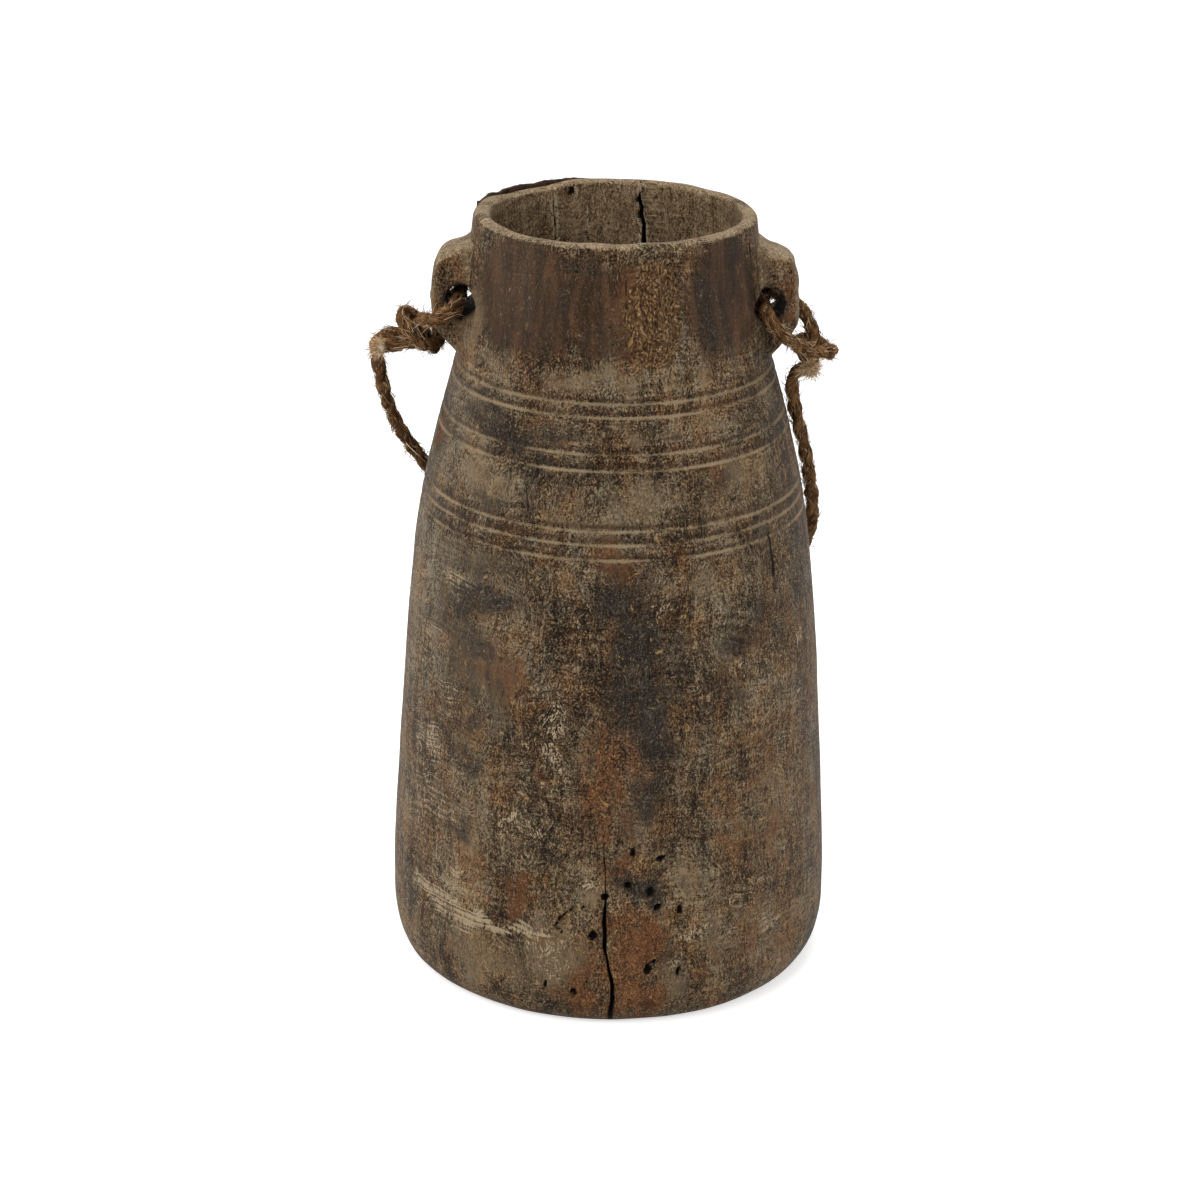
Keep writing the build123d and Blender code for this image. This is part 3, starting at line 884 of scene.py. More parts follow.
def front_marks() -> list[Mark]:
    """Marks that the front of this pot shows.

    Returns:
        The marks.
    """
    return [
        *several(
            Stain.SOOT,
            (-51, 278, 13, 5, 0.9), (-32, 275, 14, 5.5, 1.0), (-17, 276, 12, 4, 0.7), (-8, 281, 9, 4, 0.6),
            (-25, 266, 20, 3, 0.6), (-52, 288, 6, 2.5, 0.7), (-10, 258, 18, 8, 0.5), (-40, 215, 25, 8, 0.6),
            (-33, 201, 20, 8, 0.95), (-47, 196, 16, 9, 0.8), (2, 207, 14, 14, 0.95), (8, 189, 15, 18, 1.0),
            (-3, 198, 10, 10, 0.8), (10, 161, 13, 22, 1.0), (3, 162, 14, 16, 0.9), (12, 137, 9, 18, 1.0),
            (10.6, 114, 8, 16, 0.9), (38, 182, 13, 9, 0.8), (34, 160, 10, 7, 0.6), (45, 190, 8, 12, 0.6),
            (35, 255, 12, 5, 0.6), (73, 269, 9, 9, 0.9), (71, 242, 7, 14, 0.7), (60, 236, 8, 6, 0.5),
            (50, 222, 12, 8, 0.6), (-52, 130, 10, 9, 0.7), (-40, 123, 15, 8, 0.7), (-44, 150, 10, 12, 0.5),
            (-50, 100, 12, 6, 0.6), (-45, 88, 14, 5, 0.7), (-31, 140, 8, 7, 0.45), (5, 72, 14, 7, 0.8),
            (12, 62, 6, 6, 0.7), (14, 40, 7, 9, 0.6), (19, 20, 10, 8, 0.6), (-14, 16, 9, 4, 0.6),
            (14, 33, 4, 6, 0.7), (-23, 330, 14, 16, 0.45), (37, 332, 14, 20, 0.6), (-5, 350, 14, 5, 0.45),
            (-18, 351, 10, 4, 0.7), (-2, 233, 8, 4, 0.5), (-8, 325, 8, 12, 0.4), (6, 73, 13, 5, 1.3),
            (11, 66, 5, 7, 1.2), (3, 79, 6, 4, 1.0), (-36, 276, 20, 5, 0.9), (-12, 256, 22, 6, 0.5),
            (8, 175, 20, 30, 0.55), (-38, 243, 18, 4, 0.6), (20, 279, 16, 4, 0.5), (-42, 168, 30, 34, 0.50),
            (4, 100, 20, 20, 0.36), (40, 60, 40, 26, 0.18), (-44, 140, 24, 10, 0.55), (-50, 184, 14, 12, 0.6),
        ),
        *several(
            Stain.RUST,
            (-8, 14, 11, 10, 1.0), (-7, 30, 8, 16, 0.7), (-6, 45, 7, 7, 0.45), (4, 56, 11, 11, 0.75),
            (7, 36, 13, 16, 1.0), (7.5, 16, 12, 13, 1.1), (10.7, 50, 8, 9, 0.8), (3, 81, 11, 13, 0.55),
            (-1, 124, 15, 24, 0.75), (-2.5, 105, 15, 20, 0.6), (17, 28, 5, 3, 0.6), (-12, 21.5, 6, 3, 0.7),
            (17, 59, 5, 2, 0.4), (44, 118, 18, 20, 0.4), (58, 190, 8, 16, 0.45), (3, 25, 14, 22, 0.6),
            (40, 78, 16, 14, 0.35), (50, 62, 14, 12, 0.35), (-30, 112, 12, 10, 0.3), (62, 118, 10, 16, 0.4),
        ),
        *several(
            Stain.RED,
            (-31, 167, 14, 12, 0.8), (-24.7, 71, 6, 9, 1.0), (-24.5, 57, 6, 9, 1.0), (-19, 44, 6, 3, 0.9),
            (-40, 70, 10, 12, 0.5), (22, 130, 10, 14, 0.45), (48, 92, 14, 12, 0.5), (-22, 120, 9, 12, 0.5),
            (-19, 35, 8, 8, 0.5), (-13, 151, 10, 14, 0.4), (28, 261, 12, 9, 0.4), (1, 225, 22, 9, 0.5),
            (40, 34, 42, 22, 0.36), (40, 95, 44, 28, 0.34),
            (8, 41, 8, 9, 0.6), (3, 330, 5, 24, 0.7), (50, 325, 4, 22, 0.8), (-50, 330, 8, 15, 0.4),
            (-20, 318, 12, 14, 0.5), (22, 24, 8, 6, 0.5), (23, 233, 14, 10, 0.4), (-38, 322, 6, 18, 0.4),
        ),
        *several(
            Stain.PALE,
            (-17.5, 152, 6, 9, 0.9), (-14.6, 139, 5, 9, 0.9), (-17, 126, 6, 6, 0.65), (-26.6, 97, 9, 5, 0.95),
            (-20.8, 96, 8, 5, 0.95), (64, 170, 5, 9, 1.0), (62, 147, 4, 8, 0.9), (-7.3, 202, 3, 9, 0.8),
            (-10, 188, 5, 6, 0.6), (39, 172, 3, 6, 0.75), (13.5, 202, 4, 4, 0.75), (8, 140, 2.5, 3, 0.6),
            (-6, 73, 5, 3, 0.75), (21, 46, 7, 6, 0.95), (19, 52, 5, 5, 0.65), (-12, 45, 9, 5, 0.75),
            (-17.5, 48, 12, 2.5, 0.8), (-8, 52, 5, 4, 0.5), (-59, 40, 3, 6, 0.6), (-22, 84, 6, 2, 0.6),
            (16, 92, 5, 4, 0.5), (-35, 190, 6, 8, 0.4), (-14, 30, 10, 8, 0.55), (-16.5, 146, 11, 24, 0.55),
            (-16, 122, 12, 14, 0.5), (-23, 98, 15, 9, 0.55), (-9, 196, 6, 16, 0.5), (63, 160, 6, 22, 0.5),
            (-14.5, 35, 9, 13, 0.72), (-20, 42, 14, 7, 0.6), (14, 246, 14, 6, 0.45), (40, 252, 14, 6, 0.45),
        ),
        *several(
            Stain.OLIVE,
            (-15, 36, 16, 17, 1.3), (-12, 48, 10, 8, 1.0), (17, 22, 9, 12, 0.9), (-48, 255, 14, 8, 0.7),
            (-38, 165, 26, 16, 0.5), (4, 279, 30, 4, 0.7), (12, 250, 46, 11, 0.75), (46, 255, 26, 11, 0.7),
            (-32, 250, 30, 9, 0.7), (30, 279, 26, 4, 0.6), (-34, 28, 42, 15, 0.9), (34, 238, 30, 5, 0.6),
            (-40, 218, 30, 6, 0.6), (24, 212, 30, 9, 0.5), (-52, 331, 11, 22, 0.7), (-34, 331, 5, 24, 0.45),
            (0, 240, 60, 6, 0.6), (45, 220, 26, 8, 0.5), (40, 40, 40, 26, 0.35), (38, 90, 36, 26, 0.4),
            (-14, 20, 12, 12, 0.7),
            (-10, 301, 26, 5, 0.8), (-50, 302, 16, 9, 0.6), (20, 300, 20, 5, 0.5), (-4, 66, 8, 8, 0.6),
            (-30, 290, 22, 3, 0.6), (18, 75, 12, 12, 0.5), (-62, 325, 9, 22, 0.7), (64, 318, 8, 20, 0.5),
        ),
        *several(
            Stain.TURNED,
            (-38, 46, 38, 7.0, 1.15), (-22, 47, 22, 5, 1.1), (-54, 50, 18, 7, 1.0), (42, 44, 28, 6, 0.7),
            (-55, 95, 24, 14, 0.72), (-48, 60, 20, 8, 0.72), (-58, 122, 18, 14, 0.7), (38, 60, 24, 8, 0.6),
            (-60, 170, 16, 14, 0.65), (-52, 204, 20, 7, 0.7), (52, 150, 20, 40, 0.4), (-52, 148, 18, 16, 0.6),
        ),
        *several(
            Stain.DARK,
            (-38, 333, 34, 29, 1.0), (-8, 333, 12, 29, 0.85), (48, 333, 26, 29, 1.0), (0, 332, 30, 26, 0.6),
            (120, 330, 34, 25, 0.9), (175, 329, 34, 24, 0.8), (232, 330, 34, 25, 0.9),
            edge=6.0,
        ),
        *several(Stain.DARK, (4, 190, 22, 30, 0.4), (10, 150, 18, 30, 0.5)),
        Mark(Stain.BAND, 14.5, 330, 13.0, 26, 1.0, 6.0),
    ]


def scattered_marks(seed: int = 41) -> list[Mark]:
    """Marks of the same kinds and sizes for the sides and back.

    Args:
        seed: Seed of their places.

    Returns:
        The marks.
    """
    rng = np.random.default_rng(seed)
    marks: list[Mark] = []
    for stain, count, wide, tall in (
        (Stain.SOOT, 34, 13, 10), (Stain.RED, 18, 10, 10), (Stain.PALE, 16, 6, 7),
        (Stain.OLIVE, 14, 16, 12), (Stain.RUST, 5, 9, 12), (Stain.TURNED, 9, 24, 9), (Stain.DARK, 12, 22, 24),
    ):
        for angle, height, across, up, strength in rng.uniform(0, 1, (count, 5)):
            marks.append(
                Mark(
                    stain, 72 + 216 * angle, 10 + 335 * height, wide * (0.5 + across), tall * (0.5 + up),
                    0.45 + 0.55 * strength,
                )
            )
    return marks


NAIL_HOLES: tuple[tuple[float, float, float, float], ...] = (
    (-3.8, 48.0, 2.1, 1.7), (10.3, 30.4, 1.9, 2.1), (-8.8, 18.1, 1.5, 1.7), (12.5, 61.1, 1.3, 1.3),
    (10.7, 69.3, 1.6, 1.6), (5.0, 72.7, 1.5, 1.4), (13.5, 85.4, 2.2, 1.0), (6.2, 88.2, 0.9, 1.8),
    (-0.6, 67.4, 1.1, 1.4), (-16.1, 20.7, 0.8, 2.6), (18.6, 58.9, 0.8, 2.6), (18.3, 27.3, 0.8, 2.4),
    (-5.4, 25.0, 0.9, 1.0), (12.0, 34.5, 0.8, 1.0),
)

SPLITS: tuple[Split, ...] = (
    Split(
        (
            (0.9, 0.5, 1.15), (0.8, 4.6, 1.15), (1.5, 15.0, 0.95), (1.2, 18.0, 0.70), (1.4, 21.0, 0.85),
            (0.9, 26.0, 0.80), (0.2, 31.0, 0.50), (-0.1, 36.0, 0.40), (-0.7, 39.5, 0.62), (-0.9, 43.6, 0.85),
            (-0.7, 48.0, 0.70), (-1.0, 53.6, 0.90), (-0.8, 61.0, 0.62), (-0.6, 66.0, 0.18),
            (-1.2, 85.0, 0.10), (-1.3, 100.0, 0.06),
        ),
        7.0,
    ),
    Split(
        (
            (-13.6, 50.8, 0.5), (-12.9, 53.5, 0.7), (-12.2, 56.0, 0.5), (-8.4, 60.8, 0.3), (-4.6, 62.3, 0.22),
            (-1.6, 63.0, 0.15),
        ),
        1.2,
    ),
    Split(((-13.4, 51.2, 0.5), (-11.2, 48.6, 0.35)), 0.8),
    Split(((4.4, 330.0, 0.2), (3.9, 338.0, 0.35), (4.2, 346.0, 0.15)), 0.4, 0.8),
    Split(((67.0, 320.0, 0.3), (67.5, 340.0, 0.4), (67.2, 352.0, 0.15)), 0.5, 0.9),
    Split(((52.6, 203.0, 0.2), (53.0, 212.0, 0.4), (52.9, 226.0, 0.15)), 0.5, 0.8),
)

INNER_SPLITS: tuple[Split, ...] = (
    Split(
        (
            (168.9, 354.0, 0.30), (169.1, 350.5, 0.95), (168.0, 347.0, 0.60), (168.3, 343.5, 1.25),
            (166.9, 338.0, 0.75), (166.6, 331.0, 1.05), (165.8, 300.0, 1.0),
        ),
        4.0,
    ),
    Split(((168.4, 360.0, 0.9), (168.8, 354.5, 0.7)), 0.5, 0.15),
    Split(
        ((-148.8, 360.0, 0.6), (-149.4, 350.0, 0.8), (-150.6, 335.0, 0.9), (-151.0, 300.0, 0.7)),
        1.1,
        0.48,
    ),
    Split(((-131.4, 357.0, 0.25), (-131.6, 330.0, 0.35)), 0.6, 0.7),
    Split(((-166.0, 352.0, 0.2), (-166.4, 325.0, 0.3)), 0.4, 0.55),
    Split(((-159.2, 354.4, 1.5), (-159.0, 356.4, 1.2)), 1.5),
)


@dataclass
class TurnedGrid:
    """The turned surface while it is worn: rows along the outline against columns round the axis.

    Angles are in degrees and lengths in millimetres, but places are in metres. Within runs from 0
    outside to 1 in the hollow. Push moves a place along the outline's normal, inset moves it
    towards the axis, and drop lowers it.
    """

    degrees: Array
    height: Array
    radius: Array
    within: Array
    normal_r: Array
    normal_z: Array
    places: Array
    push: Array
    inset: Array = field(init=False)
    drop: Array = field(init=False)
    marks: dict[Stain, Array] = field(init=False)

    def __post_init__(self) -> None:
        """Starts unworn and unmarked."""
        self.inset = np.zeros(self.height.shape)
        self.drop = np.zeros(self.height.shape)
        self.marks = {stain: np.zeros(self.height.shape) for stain in Stain}

    @property
    def outer(self) -> Mask:
        """Which places are outside."""
        return self.within < 0.2

    @property
    def wall(self) -> Mask:
        """Which places are outside and off the ground."""
        return self.outer & (self.height > 0.01)

    @property
    def mouth(self) -> Mask:
        """Which places are inside the neck."""
        return (self.within > 0.5) & (self.height > 290)

    def mark(self, stain: Stain, strength: Array) -> None:
        """Marks the wood: each place keeps the stronger of its old and new strength."""
        self.marks[stain] = np.maximum(self.marks[stain], strength)

    def away(self, angle: float, height: float, wide: float, tall: float) -> Array:
        """Distance from a spot, in half widths and half heights of that spot."""
        across = np.radians(self.degrees - angle) * self.radius / wide
        return np.hypot(across, (self.height - height) / tall)

    def near_split(self, split: Split) -> Array:
        """How deep in a split each place is: 1 on its line, 0.5 at its half width, 0 far away.

        That is 1 / (1 + d^2.5), where d is the distance from the line in half widths.

        Args:
            split: The split.

        Returns:
            Numbers from 0 to 1.
        """
        best = np.zeros(self.height.shape)
        for (a0, z0, w0), (a1, z1, w1) in zip(split.points, split.points[1:]):
            x = np.radians((self.degrees - a0 + 180) % 360 - 180) * self.radius
            z = self.height - z0
            run = np.array([np.radians(a1 - a0) * np.mean(self.radius), z1 - z0])
            t = np.clip((x * run[0] + z * run[1]) / (run @ run), 0, 1)
            distance = np.hypot(x - t * run[0], z - t * run[1])
            best = np.maximum(best, 1 / (1 + (distance / (w0 + t * (w1 - w0))) ** 2.5))
        return best


@dataclass
class TurnedVessel:
    """The turned and hollowed block: outline, hollow, grooves, splits and nail holes, in millimetres."""

    foot_radius: float = 91.0
    turned_heights: tuple[float, ...] = (27.0, 116.0, 194.0, 252.0, 294.0)
    turned_radii: tuple[float, ...] = (103.2, 99.1, 92.8, 83.0, 72.2)
    rim_radius: float = 63.6
    rim_height: float = 360.0
    shoulder_lean: float = 0.27
    lip_round: float = 2.8
    wall: float = 10.5
    floor: float = 24.0
    floor_round: float = 22.0
    mouth_radius: float = 56.6
    bore_depth: float = 62.0
    grooves: tuple[float, ...] = (291.8, 286.0, 270.3, 263.2, 237.3, 231.3, 224.6)
    groove_half_width: float = 1.35
    groove_depth: float = 0.95
    nail_hole_depth: float = 3.0
    row_pitch: float = 2.6
    column_pitch: float = 2.7
    marks: list[Mark] = field(default_factory=lambda: front_marks() + scattered_marks())

    @staticmethod
    def clamped_spline(
        places: Array, at: tuple[float, ...], values: tuple[float, ...], ends: tuple[float, float]
    ) -> Array:
        """Cubic spline through points with given end slopes, its inner slopes solved for even bending.

        Args:
            places: Where to read the spline.
            at: Rising places of its points.
            values: Values at those points.
            ends: Slopes at the first and last point.

        Returns:
            The spline's values.
        """
        x = np.asarray(at, float)
        y = np.asarray(values, float)
        gap = np.diff(x)
        rise = np.diff(y) / gap
        inner = np.diag(2 * (1 / gap[:-1] + 1 / gap[1:]))
        inner += np.diag(1 / gap[1:-1], 1) + np.diag(1 / gap[1:-1], -1)
        right = 3 * (rise[:-1] / gap[:-1] + rise[1:] / gap[1:])
        right[0] -= ends[0] / gap[0]
        right[-1] -= ends[1] / gap[-1]
        slope = np.concatenate([[ends[0]], np.linalg.solve(inner, right), [ends[1]]])
        k = np.clip(np.searchsorted(x, places, side="right") - 1, 0, len(gap) - 1)
        t = (places - x[k]) / gap[k]
        return (
            (2 * t**3 - 3 * t**2 + 1) * y[k]
            + (t**3 - 2 * t**2 + t) * gap[k] * slope[k]
            + (3 * t**2 - 2 * t**3) * y[k + 1]
            + (t**3 - t**2) * gap[k] * slope[k + 1]
        )

    def outside(self, height: Array) -> Array:
        """Radius of the outside above the heel.

        Args:
            height: Heights.

        Returns:
            Radii: the spline up to the neck's root and a straight taper above it.
        """
        at, radii = self.turned_heights, self.turned_radii
        curve = self.clamped_spline(np.minimum(height, at[-1]), at, radii, (0, -self.shoulder_lean))
        share = (height - at[-1]) / (self.rim_height - at[-1])
        return np.where(height > at[-1], radii[-1] + share * (self.rim_radius - radii[-1]), curve)

    def outline(self) -> tuple[Array, Array, Array]:
        """Closed half outline from the middle of the foot, up, over the lip and down to the floor.

        The heel, the lip and the floor's corner are quarter ellipses, the hollow follows the outside
        by the wall, and rows are finer at the grooves, nail holes and eyes.

        Returns:
            Radius, height and how far inside each row is, from 0 outside to 1 in the hollow.
        """
        turn = np.linspace(0, np.pi / 2, 15)[1:]
        heel = self.turned_radii[0] - self.foot_radius
        zones = [(z - 1.5, z + 1.5, 0.5) for z in self.grooves]
        zones += [(27, 96, 1.45), (311, 331, 1.1), (331, 358, 1.7), (294, 311, 1.7)]
        top = self.rim_height - self.lip_round
        up = spread(self.turned_heights[0], top, zones, self.row_pitch)[1:]
        lip = np.linspace(0, np.pi / 2, 7)[1:]
        foot = np.array([0.0, 30, 60, 80, 88])
        ring = self.lip_round
        bore = np.linspace(top, self.rim_height - self.bore_depth, 30)[1:]
        hollow = np.linspace(bore[-1], self.floor + self.floor_round, 34)[1:]
        corner = np.linspace(0, np.pi / 2, 8)[1:]
        edge = self.turned_radii[0] - self.wall - self.floor_round
        floor = np.array([58.0, 40, 20, 0])
        inner_at = (self.floor + self.floor_round, *self.turned_heights[1:4], bore[-1])
        inner_radii = (*(r - self.wall for r in self.turned_radii[:4]), self.mouth_radius)
        radius = [
            foot,
            self.foot_radius + heel * np.sin(turn),
            self.outside(up),
            self.outside(up[-1:]) - ring * (1 - np.cos(lip)) - 0.35 * np.sin(lip),
            self.mouth_radius + ring * (1 - np.sin(lip)),
            np.full(bore.shape, self.mouth_radius),
            self.clamped_spline(hollow, inner_at, inner_radii, (0, 0)),
            edge + self.floor_round * np.cos(corner),
            floor,
        ]
        height = [
            np.zeros(foot.shape),
            self.turned_heights[0] * (1 - np.cos(turn)),
            up,
            top + ring * np.sin(lip),
            top + ring * np.cos(lip),
            bore,
            hollow,
            self.floor + self.floor_round * (1 - np.sin(corner)),
            np.full(floor.shape, self.floor),
        ]
        within = [np.zeros(len(part)) for part in radius[:4]] + [np.linspace(0.3, 1, len(lip))]
        within += [np.ones(len(part)) for part in radius[5:]]
        return np.concatenate(radius), np.concatenate(height), np.concatenate(within)

    def grid(self) -> TurnedGrid:
        """Turns the outline about the axis, with columns that are finer at the splits, holes and eyes.

        The middle column bends to follow the long split, and a gentle unevenness pushes the surface.

        Returns:
            The surface, not yet worn.
        """
        fine = [(-30, 30, 0.62), (-2.6, 2.6, 0.16), (65, 115, 1.15), (165, 169.6, 0.33)]
        fine += [(-115, -65, 1.15), (-151.8, -148, 0.42), (30, 65, 1.5), (-65, -30, 1.5)]
        angle = spread(-180, 180, fine, self.column_pitch)[:-1]
        outline = self.outline()
        along_r, along_z = np.gradient(outline[0]), np.gradient(outline[1])
        size = np.hypot(along_r, along_z)
        radius, height, within = (np.repeat(row[:, None], len(angle), axis=1) for row in outline)
        degrees = np.repeat(angle[None, :], len(size), axis=0)
        long_split = np.array(SPLITS[0].points)
        bend = np.interp(height, long_split[:, 1], long_split[:, 0]) * ease(height, 110, 95)
        degrees = np.where(within < 0.2, degrees + bend * np.exp(-((degrees / 5) ** 2)), degrees)
        turn = np.radians(degrees)
        places = np.stack([radius * np.sin(turn), -radius * np.cos(turn), height], -1) * MM
        push = 0.35 * ripple(places, 0.11, 11) + 0.10 * ripple(places, 0.03, 12)
        push = np.where(height < 0.01, 0.0, push * np.where(within < 0.2, 1.0, 0.8))
        normal_r, normal_z = (along_z / size)[:, None], (-along_r / size)[:, None]
        return TurnedGrid(degrees, height, radius, within, normal_r, normal_z, places, push)

    def stain(self, grid: TurnedGrid) -> None:
        """Lays every mark on the outside.

        Each is exp(-d^edge), where d is the distance from its middle in its own half sizes, and
        the places are first moved about by a gentle relief, so that no edge is a true oval.

        Args:
            grid: The surface.
        """
        wander = np.degrees(3.2 * ripple(grid.places, 0.022, 5) / np.maximum(grid.radius, 20))
        lift = 3.2 * ripple(grid.places, 0.022, 6)
        wall = grid.wall
        for mark in self.marks:
            loose = 0.4 if mark.edge > 3 else 1.0
            away = (grid.degrees + loose * wander - mark.angle + 180) % 360 - 180
            across = np.radians(away) * grid.radius / mark.wide
            d = np.hypot(across, (grid.height + loose * lift - mark.height) / mark.tall)
            grid.mark(mark.stain, np.where(wall, mark.strength * np.exp(-(d**mark.edge)), 0.0))

    def cut_grooves(self, grid: TurnedGrid) -> None:
        """Cuts the grooves: each a worn V with dust in it and painted shade above it.

        Args:
            grid: The surface.
        """
        dusty = 0.80 + 0.22 * ripple(grid.places, 0.04, 31)
        outer = grid.outer
        for groove in self.grooves:
            above = (grid.height - groove) / self.groove_half_width
            worn = 0.80 + 0.35 * ripple(grid.places, 0.05, int(groove))
            grid.push -= self.groove_depth * worn * np.where(outer, np.clip(1 - np.abs(above), 0, 1), 0.0)
            grid.mark(Stain.DUST, np.where(outer, dusty * np.exp(-((above + 0.25) ** 2) * 1.7), 0.0))
            # Painted shade: a dark band just above each groove, laid on the dark mark that the handled neck
            # also uses.
            grid.mark(Stain.DARK, np.where(outer, 0.7 * np.exp(-((above - 1.3) ** 2) * 2.0), 0.0))

    def sink_nail_holes(self, grid: TurnedGrid) -> None:
        """Sinks the nail holes: oval dents whose edge a fine relief breaks.

        Args:
            grid: The surface.
        """
        wall = grid.wall
        for angle, height, wide, tall in NAIL_HOLES:
            broken = 1 + 0.28 * ripple(grid.places, 0.004, int(10 * height))
            away = grid.away(angle, height, wide, tall) * broken
            grid.push -= self.nail_hole_depth * np.where(wall, ease(away, 1.25, 0.55), 0.0)
            grid.mark(Stain.PIT, np.where(wall, ease(away, 1.9, 0.5), 0.0))

    @staticmethod
    def open_splits(grid: TurnedGrid) -> None:
        """Opens the splits outside, shut again at the foot, and those in the mouth, with pale edges.

        Args:
            grid: The surface.
        """
        for split in SPLITS:
            depth = np.where(grid.wall, grid.near_split(split), 0.0)
            grid.push -= split.depth * ease(depth, 0.4, 0.95) * ease(grid.height, 2.0, 14.0)
            grid.mark(Stain.PIT, split.strength * depth)
        for split in INNER_SPLITS:
            depth = np.where(grid.mouth, grid.near_split(split), 0.0)
            grid.push -= split.depth * ease(depth, 0.4, 0.95)
            grid.mark(Stain.PIT, split.strength * depth)
            grid.mark(Stain.PALE, ease(depth, 0.02, 0.2))

    @staticmethod
    def dress_hollow(grid: TurnedGrid) -> None:
        """Marks the inside: olive and sooty clouds, and rust round the hole at the back.

        Args:
            grid: The surface.
        """
        mouth = grid.mouth
        spot = grid.away(-159.2, 354.5, 5.0, 3.5)
        grid.mark(Stain.RUST, np.where(mouth, np.exp(-(spot**2)), 0.0))
        grid.mark(Stain.OLIVE, np.where(mouth, 0.15 + 0.3 * ripple(grid.places, 0.05, 8), 0.0))
        sooty = 0.25 * ease(ripple(grid.places, 0.04, 9), 0.1, 0.9)
        grid.marks[Stain.SOOT] = np.where(mouth, sooty, grid.marks[Stain.SOOT])
        grid.marks[Stain.INSIDE] = grid.within

    @staticmethod
    def wear_lip(grid: TurnedGrid) -> None:
        """Rubs the lip pale, chips it in front and wears it low over the strip.

        Args:
            grid: The surface.
        """
        lip = ease(grid.height, 357.0, 359.6)
        low = lip * ease(np.abs(grid.degrees + 137), 26, 8)
        chip = ease(np.abs(grid.degrees + 16), 5.5, 3.5) * np.where(grid.outer, lip, 0.0)
        grid.mark(Stain.WEAR, lip * (0.92 + 0.25 * ripple(grid.places, 0.02, 44)))
        grid.mark(Stain.PALE, 0.6 * chip)
        grid.inset += 0.7 * chip
        grid.drop += 2.0 * low - 0.22 * lip * ripple(grid.places, 0.025, 14)

    @staticmethod
    def worn_places(grid: TurnedGrid) -> Array:
        """Places of the worn surface, cut back where an eye grazes the neck.

        There x stays inside the eye's near wall, half the chord of the eye from its middle.

        Args:
            grid: The surface.

        Returns:
            Places in metres.
        """
        turn = np.radians(grid.degrees)
        radius = grid.radius + grid.push * grid.normal_r - grid.inset
        height = grid.height + grid.push * grid.normal_z * (grid.height > 0.01) - grid.drop
        height = np.maximum(height, 0.0)
        side = np.abs(np.sin(turn))
        bore = EYE_RADIUS + 0.9 * ease(np.abs(radius * np.cos(turn)), 15.0, 12.0)
        chord = np.sqrt(np.maximum(bore**2 - (height - EYE_HEIGHT) ** 2, 0.0))
        near = (EYE_FROM_AXIS - chord) / np.maximum(side, 0.2)
        cut = grid.outer & (chord > 0) & (side > 0.8)
        radius = np.where(cut, np.minimum(radius, near), radius)
        return np.stack([radius * np.sin(turn), -radius * np.cos(turn), height], -1) * MM

    def mesh(self, grid: TurnedGrid) -> bpy.types.Object:
        """Closes the worn grid with a fan under the foot and one on the floor, and writes its marks.

        Args:
            grid: The surface.

        Returns:
            The body, with no finish yet.
        """
        places = self.worn_places(grid)
        rows, columns = places.shape[:2]
        body = places[1:-1].reshape(-1, 3)
        ends = [places[0].mean(axis=0), places[-1].mean(axis=0)]
        ring = np.arange(columns)
        after = np.roll(ring, -1)
        last = (rows - 3) * columns
        under = np.stack([np.full(columns, len(body)), after, ring], -1)
        floor = np.stack([np.full(columns, len(body) + 1), ring + last, after + last], -1)
        quads = sheet_faces(rows - 2, columns)
        piece = make_object("turned_body", np.vstack([body, *ends]), quads, np.vstack([under, floor]))
        for name in MARK_LAYERS:
            kinds = sorted((s for s in Stain if s.value[0] == name), key=lambda s: s.value[1])
            values = np.stack([grid.marks[kind] for kind in kinds], -1)
            set_colour(piece, name, np.vstack([values[1:-1].reshape(-1, 4), values[0, :1], values[-1, :1]]))
        return piece

    def build(self, finish: bpy.types.Material) -> bpy.types.Object:
        """Makes the pot's body as one closed turned surface, wears it and dresses it.

        Args:
            finish: The wood.

        Returns:
            The body.
        """
        grid = self.grid()
        self.stain(grid)
        self.cut_grooves(grid)
        self.sink_nail_holes(grid)
        self.open_splits(grid)
        self.dress_hollow(grid)
        self.wear_lip(grid)
        piece = self.mesh(grid)
        seat(piece, Body.POT, "wood", finish, "vessel")
        return piece


